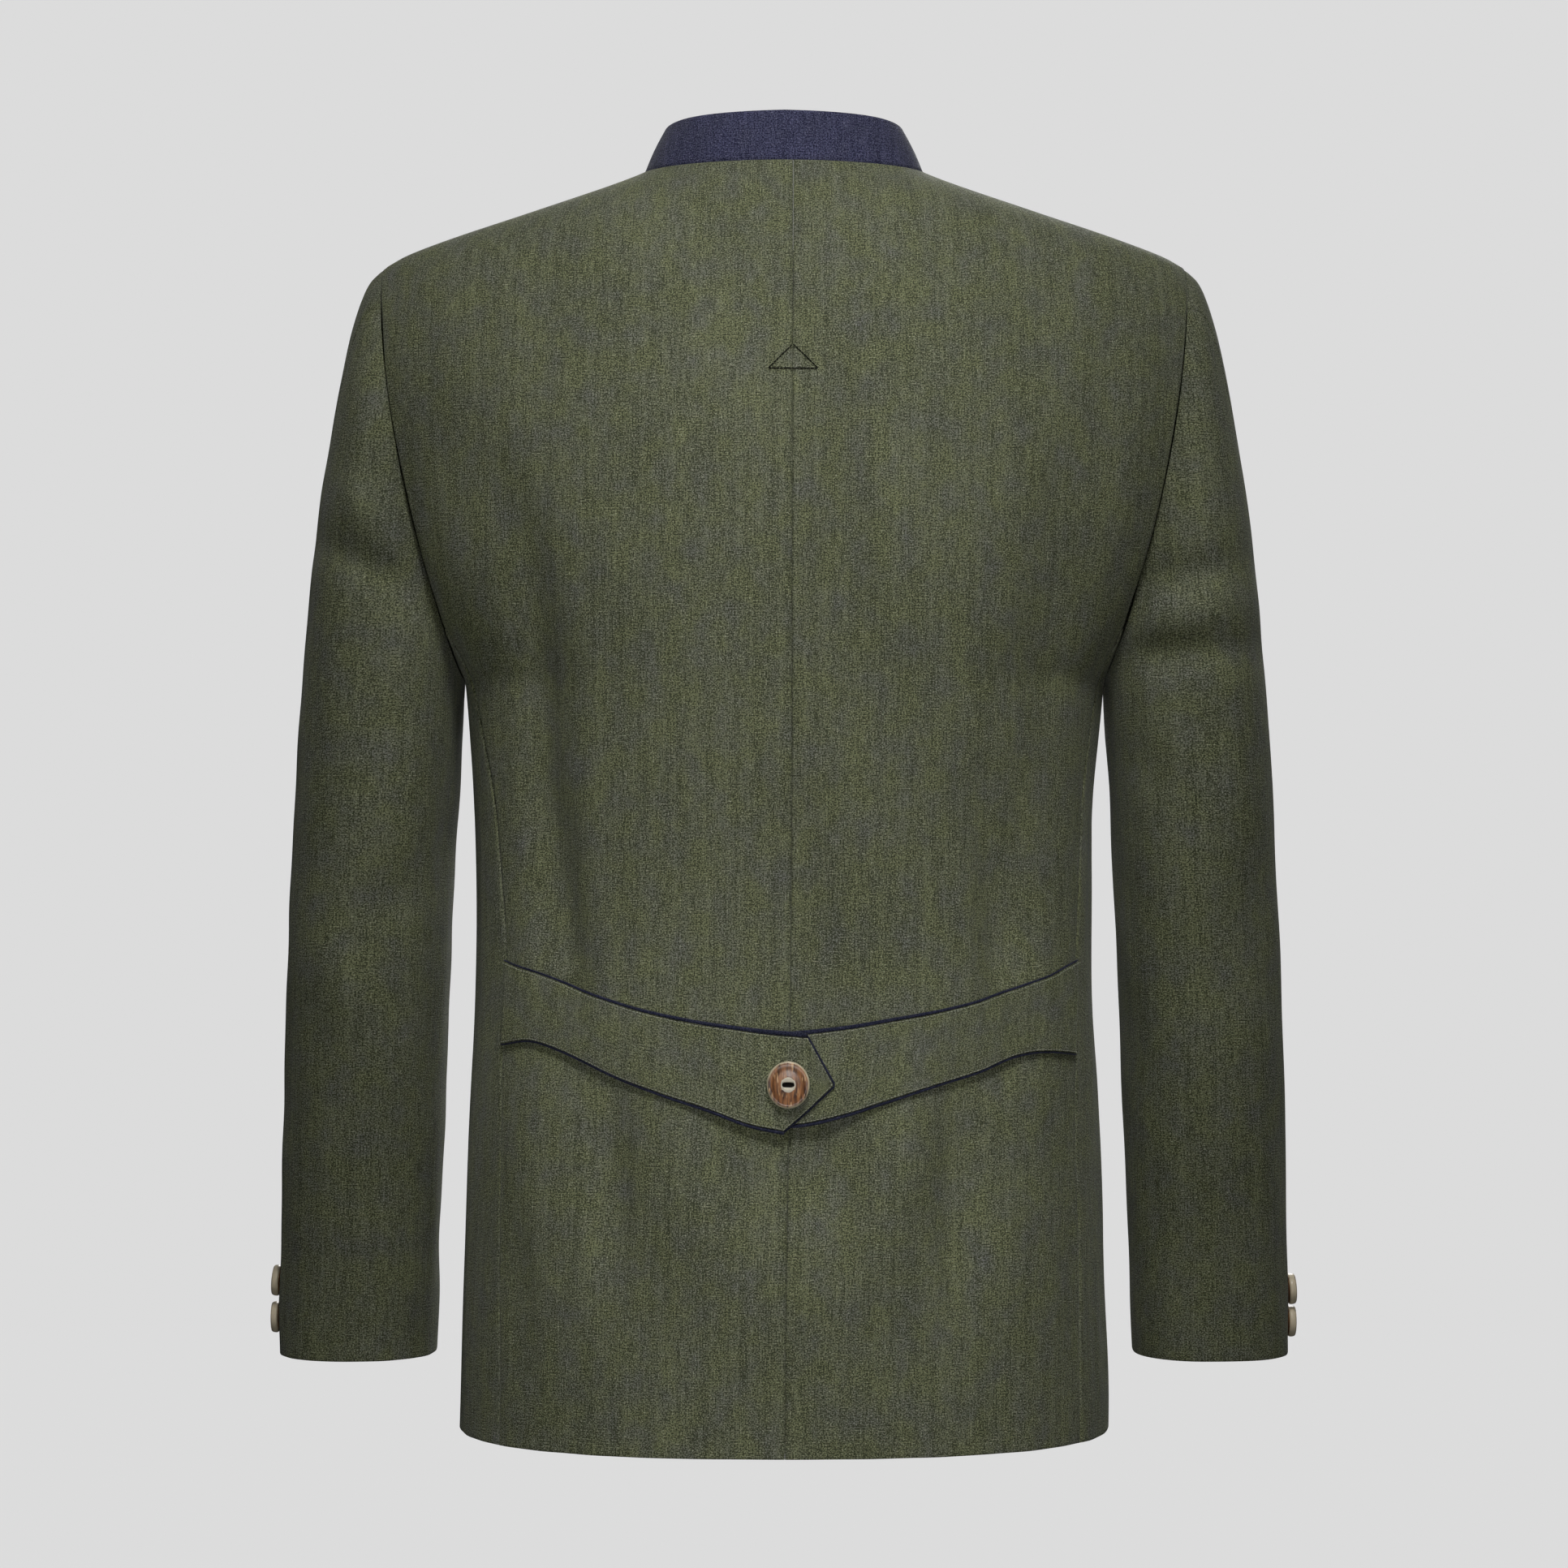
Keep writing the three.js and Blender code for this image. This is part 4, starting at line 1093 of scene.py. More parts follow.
@dataclass
class CutPiece:
    """One piece that a maker cuts: its outer face as a grid, and how its edges are finished.

    The edges are those of the first column, last column, first row and last row.
    """

    name: str
    points: Array
    cut: Array
    outward: Array
    edges: tuple = (Edge.SEAM, Edge.SEAM, Edge.SEAM, Edge.FREE)
    thickness: float = CLOTH
    anchor: int = 0
    bevel: float = 0.4
    upright: bool = False
    bolt: tuple = (0.0, 0.0)

    def rolled(self) -> Array:
        """The outer face with its seams parted and its edges rolled in."""
        points = self.points
        across, down = arc_lengths(points, 1), arc_lengths(points, 0)
        away = (across, across[:, -1:] - across, down, down[-1:, :] - down)
        drop = np.zeros(across.shape)
        for edge, distance in zip(self.edges, away):
            near = np.clip(1 - distance / edge.width, 0, 1)
            drop = np.maximum(drop, edge.drop * near ** ROLL_POWER)
        moved = points - drop[..., None] * self.outward
        first, last, top, low = (edge.half_gap for edge in self.edges)
        moved[:, 0] += first * unit(points[:, 1] - points[:, 0])
        moved[:, -1] += last * unit(points[:, -2] - points[:, -1])
        moved[0] += top * unit(points[1] - points[0])
        moved[-1] += low * unit(points[-2] - points[-1])
        return moved

    def flat_places(self) -> Array:
        """Where each point lies on the flat cut, in mm."""
        if self.upright:
            round_arm = round_lengths(self.cut)
            return np.stack([round_arm + self.bolt[0], self.cut[..., 2] + self.bolt[1]], axis=-1)
        across, down = arc_lengths(self.cut * np.array([1, 1, 0]), 1), arc_lengths(self.cut, 0)
        height = np.broadcast_to(-down[:, self.anchor:self.anchor + 1], across.shape)
        from_anchor = across - across[:, self.anchor:self.anchor + 1]
        rightwards = self.outward[0, self.anchor, 1] * (self.cut[-1, -1, 0] - self.cut[-1, 0, 0])
        turn = 1 if rightwards > 0 else -1
        return np.stack([turn * from_anchor + self.bolt[0], height + self.bolt[1]], axis=-1)

    def build(
        self, finish: LinenFinish, hangs_from: list, with_pieces: list | None = None,
    ) -> bpy.types.Object:
        """Make the piece and dress it.

        Args:
            finish: Its cloth.
            hangs_from: Names of what holds it; not used.
            with_pieces: Separate pieces that it carries; not used.

        Returns:
            The new object.
        """
        piece = grid_mesh(self.name, self.rolled(), self.flat_places())
        turn_outwards(piece, self.outward)
        shell = piece.modifiers.new("cloth", "SOLIDIFY")
        shell.thickness = self.thickness * MM
        shell.offset = -1.0
        turned = piece.modifiers.new("turned_edge", "BEVEL")
        turned.width = self.bevel * MM
        turned.segments = 2
        turned.limit_method = "ANGLE"
        turned.angle_limit = math.radians(TURNED_EDGE_ANGLE)
        piece.data.materials.append(cloth_material(finish))
        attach(piece, ROOT)
        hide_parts(self.name)
        return piece


def turn_outwards(piece: bpy.types.Object, outward: Array) -> None:
    """Flip a piece's faces if they look inwards.

    Args:
        piece: The piece, made from a grid.
        outward: The grid's outward normals.
    """
    normals = np.array([tuple(vertex.normal) for vertex in piece.data.vertices])
    order = outward.reshape(-1, 3)
    if np.mean(np.sum(normals * order, axis=1)) < 0:
        piece.data.flip_normals()


MATERIALS: dict = {}


def cloth_material(finish: LinenFinish | HornFinish | PlainFinish) -> bpy.types.Material:
    """The material of a finish, made once."""
    if finish.name not in MATERIALS:
        MATERIALS[finish.name] = finish.material()
    return MATERIALS[finish.name]


# ---- Body, sleeves and collar ------------------------------------------------

def body_levels(top: float, bottom: float = HEM_Z) -> Array:
    """Heights of a body panel's rows: close at the neck, the shoulders and the hem.

    Args:
        top: The highest row, in mm.
        bottom: The lowest row, in mm.

    Returns:
        Falling heights, in mm.
    """
    shoulder = SHOULDER_TIP[1] - EDGE_LEAD[-1]
    if top < shoulder:
        return top + stations(top - bottom, GRID_STEP) * (bottom - top)
    head = top - np.array(HEAD_LEAD)
    yoke = np.linspace(head[-1], shoulder, YOKE_ROWS)[1:]
    low = shoulder + stations(shoulder - bottom, GRID_STEP, (False, True)) * (bottom - shoulder)
    return np.concatenate((head, yoke, low[1:]))


@dataclass
class Bodice:
    """The backs, sides and fronts, and the underlay of the box pleat."""

    form: BodyForm = field(default_factory=BodyForm)
    back_width: float = 205.0
    front_width: float = 225.0
    side_width: float = 118.0
    front_anchor: int = 30
    side_anchor: int = 12
    side_power: int = 4
    lap_behind: float = 3.0
    lap_full: float = 21.0
    lap_none: float = 44.0
    pleat_top: float = -112.0
    pleat_low: float = -712.0
    pleat_half_width: float = 26.0
    pleat_behind: float = 2.9
    pleat_cloth: float = 1.5

    def panel(
        self, name: str, angle: Array, z: Array, lift: Array | float = 0.0, **facts: object,
    ) -> CutPiece:
        """A panel over the body's surface.

        Args:
            name: Its name.
            angle: Rows by columns of angles, in radians.
            z: Rows by columns of heights, in mm.
            lift: How far off the body's surface it lies, in mm.
            **facts: Its edges and other facts.

        Returns:
            The cut piece.
        """
        normal = self.form.normal(angle, z)
        points = self.form.point(angle, z) + np.broadcast_to(lift, z.shape)[..., None] * normal
        return CutPiece(name, points, self.form.smooth().point(angle, z), normal, **facts)

    def back(self, side: Side) -> CutPiece:
        """One half of the back.

        Args:
            side: The wearer's side.

        Returns:
            The cut piece.
        """
        z = body_levels(0.0)[:, None]
        middle = self.form.angle_at(self.form.centre_seam(z), z)
        edge = side.value * self.form.edge_angle(z, side, False)
        angle = middle + (edge - middle) * stations(self.back_width, GRID_STEP)[None, :]
        edges = (Edge.CENTRE, Edge.SEAM, Edge.SEAM, Edge.FREE)
        return self.panel(
            f"back_{side.word}", angle, z + 0 * angle, edges=edges,
            bolt=(BACK_BOLT[0] * side.value, BACK_BOLT[1] * side.value),
        )

    def front(self, side: Side) -> CutPiece:
        """One front, from the side seam to the neckline or the lap's edge.

        Args:
            side: The wearer's side.

        Returns:
            The cut piece.
        """
        z = body_levels(-0.8)[:, None]
        edge = self.form.edge_angle(z, side, True)
        share = np.clip(1 + z / NECK_FRONT_DROP, 0, 1)
        neckline = NECK_HALF_WIDTH * share ** (1 / NECK_CURVE_POWER)
        on_neck = self.form.angle_at(neckline, z, True)
        on_lap = 2 * math.pi - self.form.angle_at(LAP_WIDTH + 0 * z, z, True)
        inner = np.where(z >= -NECK_FRONT_DROP, on_neck, on_lap)
        angle = edge + (inner - edge) * stations(self.front_width, GRID_STEP)[None, :]
        z = z + 0 * angle
        lift = np.zeros(z.shape)
        if side is Side.RIGHT:
            from_middle = self.form.point(angle, z)[..., 0]
            lift = -self.lap_behind * fading(from_middle, self.lap_full, self.lap_none)
        edges = (Edge.CLOSED, Edge.LAP, Edge.SEAM, Edge.FREE)
        return self.panel(
            f"front_{side.word}", side.value * angle, z, lift, edges=edges,
            anchor=self.front_anchor, bolt=(FRONT_BOLT[0] * side.value, FRONT_BOLT[1]),
        )

    def side(self, side: Side) -> CutPiece:
        """The panel under one arm; its top edge is the lowest stretch of the armhole.

        Args:
            side: The wearer's side.

        Returns:
            The cut piece.
        """
        across = 2 * stations(self.side_width, GRID_STEP) - 1
        reach = float(self.form.armhole_depth(SIDE_SEAM_TOP_Z))
        u = (1 - np.abs(across * reach / ARMHOLE_HALF_DEPTH) ** ARMHOLE_POWER) ** (1 / ARMHOLE_POWER)
        top = ARMHOLE_MIDDLE[1] - ARMHOLE_HALF[1] * u
        length = SIDE_SEAM_TOP_Z - HEM_Z
        height = 1 - stations(length, GRID_STEP)[:, None]
        level = HEM_Z + length * height
        share = (across[None, :] + 1) / 2
        behind, before = (self.form.angle_at(self.form.armhole_x(top), top, front) for front in (False, True))
        armhole = np.where(np.abs(across) < 1e-6, math.pi / 2, np.where(across > 0, before, behind))

        def between(z: Array) -> Array:
            """Angles from the hind seam to the front seam."""
            hind = self.form.edge_angle(z, side, False)
            return hind + (self.form.edge_angle(z, side, True) - hind) * share

        top_level = np.full((1, 1), SIDE_SEAM_TOP_Z)
        angle = between(level) + (armhole[None, :] - between(top_level)) * height ** self.side_power
        z = HEM_Z + (top[None, :] - HEM_Z) * height
        edges = (Edge.SEAM, Edge.CLOSED, Edge.ARMHOLE, Edge.FREE)
        return self.panel(
            f"side_{side.word}", side.value * angle, z, edges=edges,
            anchor=self.side_anchor, bolt=(SIDE_BOLT[0] * side.value, SIDE_BOLT[1]),
        )

    def pleat(self) -> CutPiece:
        """The underlay behind the centre back."""
        z = body_levels(self.pleat_top, self.pleat_low)[:, None]
        across = self.pleat_half_width * (2 * stations(2 * self.pleat_half_width, GRID_STEP) - 1)
        x = self.form.centre_seam(z) + across[None, :]
        angle = self.form.angle_at(x, z)
        return self.panel(
            "back_pleat", angle, z + 0 * x, -self.pleat_behind, thickness=self.pleat_cloth, bevel=0.3,
            edges=(Edge.PLAIN, Edge.PLAIN, Edge.PLAIN, Edge.FREE),
        )

    def build(self) -> list[bpy.types.Object]:
        """Make and dress the whole body."""
        pieces = [self.pleat().build(GREEN, ["back_left", "back_right"])]
        for side in Side:
            pieces.append(self.back(side).build(GREEN, ["collar"]))
            pieces.append(self.front(side).build(GREEN, ["collar"]))
            pieces.append(self.side(side).build(GREEN, [f"back_{side.word}", f"front_{side.word}"]))
        return pieces


@dataclass
class Sleeve:
    """A two-piece sleeve, with a hind seam at its outer edge and an inner seam."""

    side: Side
    form: SleeveForm
    width: float = 200.0
    head_rings: tuple = (0, 0.03, 0.07, 0.12, 0.19, 0.28)
    fan_rows: int = 64
    arm_rows: int = 86
    cuff_rings: tuple = (17.9, 17.94, 17.965, 17.985, 18.0)

    def rings(self) -> Array:
        """Ring numbers of the rows: close at the armhole and at the cuff."""
        fan = np.linspace(self.head_rings[-1], SLEEVE_HEAD_RINGS, self.fan_rows)[1:]
        arm = np.linspace(SLEEVE_HEAD_RINGS, self.cuff_rings[0], self.arm_rows)[1:]
        return np.concatenate((self.head_rings, fan, arm, self.cuff_rings[1:]))

    def part(self, name: str, inner_angle: float) -> CutPiece:
        """One part of the sleeve, from the hind seam to the inner seam.

        Args:
            name: Its name.
            inner_angle: The inner seam's angle, in degrees.

        Returns:
            The cut piece.
        """
        ring = self.rings()[:, None]
        hind = Curve(HIND_SEAM)(ring)
        angle = np.radians(hind + (inner_angle - hind) * stations(self.width, GRID_STEP)[None, :])
        ring = ring + 0 * angle
        normal = self.form.normal(angle, ring)
        edges = (Edge.SEAM, Edge.SEAM, Edge.ARMHOLE, Edge.FREE)
        smooth = self.form.smooth().point(angle, ring)
        return CutPiece(
            name, self.form.point(angle, ring), smooth, normal, edges=edges, upright=True,
            bolt=(SLEEVE_BOLT[0] * self.side.value + inner_angle, SLEEVE_BOLT[1]),
        )

    def build(self) -> list[bpy.types.Object]:
        """Make and dress both parts."""
        top = self.part(f"top_sleeve_{self.side.word}", INNER_SEAM_ANGLE - 360)
        under = self.part(f"under_sleeve_{self.side.word}", INNER_SEAM_ANGLE)
        held = [f"back_{self.side.word}", f"front_{self.side.word}"]
        return [top.build(GREEN, held), under.build(GREEN, held)]


@dataclass
class StandCollar:
    """The stand collar, rounded at its front corners and stitched above its seam."""

    form: BodyForm = field(default_factory=BodyForm)
    height: float = 30.0
    turn_step: float = 1.5
    end_turns: tuple = (175, 176.5, 177.6, 178.4, 179.3)
    corner_radius: float = 12.0
    swell: float = 0.8
    foot_gap: float = -0.5
    lean: Curve = Curve(COLLAR, 1)
    rise: Curve = Curve(COLLAR, 2)

    def surface(self, turn: Array, share: Array) -> Array:
        """The collar's outer face.

        Args:
            turn: Signed angles round the neck, in degrees.
            share: Place up the collar, 0 to 1.

        Returns:
            Points, in mm.
        """
        turn, share = floats(turn, share)
        foot = self.form.neck_point(turn)
        out = unit(foot * np.array([1, 1, 0]))
        end = self.form.neck_point(np.where(turn < 0, -180.0, 180.0))
        from_end = np.linalg.norm(foot - end, axis=-1)
        cut = np.clip(self.corner_radius - from_end, 0, self.corner_radius)
        corner = self.corner_radius - np.sqrt(self.corner_radius ** 2 - cut ** 2)
        rise = self.rise(np.abs(turn))
        height = share * (rise - corner)
        lean = self.lean(np.abs(turn)) * height / rise
        swell = self.swell * np.sin(math.pi * share)
        up = np.stack([0 * height, 0 * height, self.foot_gap + height], axis=-1)
        return foot + (swell - lean)[..., None] * out + up

    def normal(self, turn: Array, share: Array) -> Array:
        """The way out of the collar's outer face.

        Args:
            turn: Signed angles round the neck, in degrees.
            share: Place up the collar, 0 to 1.

        Returns:
            Unit normals.
        """
        turn, share = floats(turn, share)
        place = self.surface(turn, share)
        inside = np.stack([0 * turn, 0 * turn, place[..., 2] - INSIDE_COLLAR], axis=-1)
        return surface_normal(self.surface, turn, share, COLLAR_STEPS, inside)

    def piece(self) -> CutPiece:
        """The collar as a cut piece."""
        round_neck = np.arange(self.turn_step, self.end_turns[0] - 1, self.turn_step)
        half = np.concatenate((round_neck, self.end_turns))
        turn = np.concatenate((-half[::-1], [0], half))[None, :]
        share = 1 - stations(self.height, COLLAR_STEP)[:, None]
        points = self.surface(turn, share)
        edges = (Edge.FREE, Edge.FREE, Edge.FREE, Edge.SEAM)
        return CutPiece(
            "collar", points, points, self.normal(turn, share), edges=edges,
            thickness=DOUBLE_CLOTH, anchor=turn.shape[1] // 2, bevel=0.7,
        )

    def stitch_places(self, spacing: float = 4.6, height: float = 1.8) -> StitchPlaces:
        """Where the pick stitches above the collar's seam lie.

        Args:
            spacing: From stitch to stitch, in mm.
            height: Above the collar's foot, in mm.

        Returns:
            For each stitch its middle, its direction and its outward normal.
        """
        turn = np.linspace(-177, 177, 1200)
        share = height / self.rise(np.abs(turn))
        line = self.surface(turn, share)
        normal = self.normal(turn, share)
        return spaced_along(line, normal, spacing)

    def build(self) -> list[bpy.types.Object]:
        """Make and dress the collar and its stitches."""
        collar = self.piece().build(NAVY, ["back_left", "back_right", "front_left", "front_right"])
        row = Stitches(
            "collar_stitches", self.stitch_places(), NAVY_THREAD, "linen_navy", length=1.5, thickness=0.32,
        )
        return [collar, row.build()]


# ---- Stitches ----------------------------------------------------------------

def spaced_along(line: Array, normals: Array, spacing: float) -> StitchPlaces:
    """Places at even distances along a line.

    Args:
        line: Points, in mm.
        normals: Outward normals at the points.
        spacing: From place to place, in mm.

    Returns:
        For each place its point, its direction and its outward normal.
    """
    lengths = np.concatenate(([0], np.cumsum(np.linalg.norm(np.diff(line, axis=0), axis=1))))
    places = []
    for at in np.arange(spacing / 2, lengths[-1], spacing):
        i = int(np.searchsorted(lengths, at)) - 1
        s = (at - lengths[i]) / (lengths[i + 1] - lengths[i])
        places.append((line[i] + s * (line[i + 1] - line[i]), unit(line[i + 1] - line[i]), normals[i]))
    return places


@dataclass
class Stitches:
    """A row of short hand or machine stitches, as one piece."""

    name: str
    places: list
    finish: PlainFinish
    slot: str
    length: float
    thickness: float
    sunk: float = 0.1
    wander: float = 0.05
    lengths: tuple = (0.85, 1.12)

    def build(self) -> bpy.types.Object:
        """Make and dress the row."""
        chance = random.Random(self.name)
        mesh = bmesh.new()
        for point, along, normal in self.places:
            along = unit(along + np.array([chance.gauss(0, self.wander) for _ in range(3)]))
            across = unit(np.cross(normal, along))
            length = self.length * chance.uniform(*self.lengths)
            middle = (point + normal * (self.thickness / 2 - self.sunk)) * MM
            turn = Matrix((Vector(along), Vector(across), Vector(unit(np.cross(along, across))))).transposed()
            thick = self.thickness * MM / 2
            size = Matrix.Diagonal((length * MM / 2, thick, thick, 1))
            place = Matrix.Translation(Vector(middle)) @ turn.to_4x4() @ size
            bmesh.ops.create_icosphere(mesh, subdivisions=1, radius=1.0, matrix=place)
        piece = new_object(self.name, mesh)
        piece.data.materials.append(cloth_material(self.finish))
        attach(piece, ROOT)
        log.info("%s: %d stitches", self.name, len(self.places))
        return piece


# ---- Half belt ---------------------------------------------------------------

@dataclass
class HalfBelt:
    """One half of the belt across the back, with piping above and below it."""

    side: Side
    table: tuple
    tip: tuple | None = None
    form: BodyForm = field(default_factory=BodyForm)
    length: float = 190.0
    width: float = 46.0
    tip_length: float = 24.0
    tip_step: float = 2.0
    lap_gap: float = 0.5
    ramp_flat: float = 62.0
    ramp_over: float = 24.0
    piping_radii: tuple = ((0.55, 1.35), (0.5, 1.0))
    piping_gap: float = 0.3
    cord_sides: int = 16
    piping_stand: float = 1.2
    piping_full_at: float = 160.0
    tip_cord_radius: float = 0.55
    tip_cord_outwards: float = 0.7
    tip_cord_rows: int = 27

    def lift(self, x: Array) -> Array:
        """How far the belt's inner face stands off the back.

        Args:
            x: Sideways places, in mm.

        Returns:
            Distances, in mm; the left half climbs over the right half.
        """
        if self.side is Side.RIGHT:
            return LAID_ON + 0 * x
        return LAID_ON + (BELT_STAND + self.lap_gap) * fading(x, self.ramp_over, self.ramp_flat)

    def lines(self, with_tip: bool) -> Array:
        """Lines across the belt, from the side seam to its end.

        Args:
            with_tip: Whether the pointed end is wanted.

        Returns:
            One row for each line: top x and z, low x and z, in mm.
        """
        place = stations(self.length, BELT_STEP, (True, self.tip is None)) * self.table[-1][0]
        rows = np.stack([Curve(self.table, column)(place) for column in range(1, 5)], axis=-1)
        if with_tip and self.tip:
            x, z, half = self.tip
            end = np.array([x, z + half, x, z - half])
            share = stations(self.tip_length, self.tip_step, (False, True))[1:, None]
            rows = np.concatenate((rows, rows[-1] + share * (end - rows[-1])))
        return rows

    def piece(self) -> CutPiece:
        """The belt half as a cut piece."""
        lines = self.lines(True)
        share = stations(self.width, BELT_STEP)[:, None]
        x = lines[:, 0] + share * (lines[:, 2] - lines[:, 0])
        z = lines[:, 1] + share * (lines[:, 3] - lines[:, 1])
        stand = self.lift(x) + BELT_STAND
        points = self.form.on_back(x, z, stand)
        normal = self.form.normal(self.form.angle_at(x, z), z)
        edges = (Edge.SEAM, Edge.TURNED, Edge.TURNED, Edge.TURNED)
        cut = self.form.smooth().on_back(x, z, stand)
        return CutPiece(
            f"belt_{self.side.word}", points, cut, normal, edges=edges, thickness=DOUBLE_CLOTH,
            bevel=0.6, bolt=(BELT_BOLT[0] * self.side.value, BELT_BOLT[1]),
        )

    def piping(self, top: bool) -> bpy.types.Object:
        """The piping along one edge, fuller towards the centre back.

        Args:
            top: Whether it is the upper edge.

        Returns:
            The new object.
        """
        lines = self.lines(False)[::2]
        x, z = (lines[:, 0], lines[:, 1]) if top else (lines[:, 2], lines[:, 3])
        thin, full = self.piping_radii[0 if top else 1]
        radius = full - (full - thin) * np.clip(np.abs(x) / self.piping_full_at, 0, 1) ** 0.8
        name = f"piping_{'top' if top else 'low'}_{self.side.word}"
        beside = z + (1 if top else -1) * (self.piping_gap + radius)
        piece = self.cord(name, x, beside, self.lift(x) + self.piping_stand, radius)
        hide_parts(name)
        return piece

    def tip_piping(self) -> bpy.types.Object:
        """The thin navy edge that shows round the pointed end."""
        edge = self.edge_path(-self.tip_cord_outwards)
        middle, reach = len(edge) // 2, self.tip_cord_rows
        x, z = edge[middle - reach:middle + reach].T
        radius = np.full(len(x), self.tip_cord_radius)
        return self.cord("piping_tip", x, z, self.lift(x) + self.tip_cord_radius, radius)

    def cord(self, name: str, x: Array, z: Array, stand: Array, radius: Array) -> bpy.types.Object:
        """A cord of navy cloth, its colour dark partly as painted shade, laid along a line on the back.

        Args:
            name: Its name.
            x: Sideways places of its middle line, in mm.
            z: Heights of its middle line, in mm.
            stand: How far its middle stands off the back, in mm.
            radius: Its radius at each place, in mm.

        Returns:
            The new object.
        """
        centre = self.form.on_back(x, z, stand)
        out = self.form.normal(self.form.angle_at(x, z), z)
        beside = unit(np.cross(unit(np.gradient(centre, axis=0)), out))
        turn = np.linspace(0, 2 * math.pi, self.cord_sides + 1)
        points = centre[:, None] + radius[:, None, None] * (
            np.cos(turn)[None, :, None] * out[:, None] + np.sin(turn)[None, :, None] * beside[:, None]
        )
        lengths = arc_lengths(centre[:, None], 0)
        flat = np.stack(np.broadcast_arrays(turn[None, :] * float(radius.mean()), lengths), axis=-1)
        piece = grid_mesh(name, points, flat, wrap=True)
        close_ends(piece)
        piece.data.materials.append(cloth_material(SHADED_PIPING))
        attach(piece, ROOT)
        log.info("%s: %.0f mm long", name, float(lengths[-1, 0]))
        return piece

    def edge_path(self, inwards: float) -> Array:
        """The belt half's outline, from the side seam round its end and back.

        Args:
            inwards: How far inside the edge, in mm.

        Returns:
            Its x and z, in mm.
        """
        lines = self.lines(True)
        top, low = lines[:, :2], lines[:, 2:]
        path = np.concatenate((top, low[::-1]))
        ahead = unit(np.gradient(path, axis=0))
        inside = np.stack([ahead[:, 1], -ahead[:, 0]], axis=-1) * -self.side.value
        return path + inwards * inside

    def edge_stitches(self) -> bpy.types.Object:
        """The fine pale stitches along the turned edge; their pale thread is also painted highlight on the
        folded edge.
        """
        path = self.edge_path(0.55)
        x, z = path[:, 0], path[:, 1]
        line = self.form.on_back(x, z, self.lift(x) + BELT_STAND)
        places = spaced_along(line, self.form.normal(self.form.angle_at(x, z), z), 2.0)
        name = f"belt_edge_{self.side.word}"
        return Stitches(
            name, places, EDGE_THREAD_AND_HIGHLIGHT, "linen_green", length=1.8, thickness=0.5, sunk=0.12,
        ).build()

    def build(self) -> list[bpy.types.Object]:
        """Make and dress the belt half, its piping and its pale edge stitches, which are partly painted
        highlight.
        """
        sewn = [self.piping(True), self.piping(False), self.edge_stitches()]
        if self.tip:
            sewn.append(self.tip_piping())
        held = [f"side_{self.side.word}", f"back_{self.side.word}"]
        return [*sewn, self.piece().build(GREEN, held, with_pieces=sewn)]


def close_ends(piece: bpy.types.Object) -> None:
    """Cap a tube's open ends and turn its faces outwards.

    Args:
        piece: The tube.
    """
    mesh = bmesh.new()
    mesh.from_mesh(piece.data)
    bmesh.ops.holes_fill(mesh, edges=[edge for edge in mesh.edges if edge.is_boundary])
    bmesh.ops.recalc_face_normals(mesh, faces=mesh.faces)
    mesh.to_mesh(piece.data)
    mesh.free()


# ---- Buttons -----------------------------------------------------------------

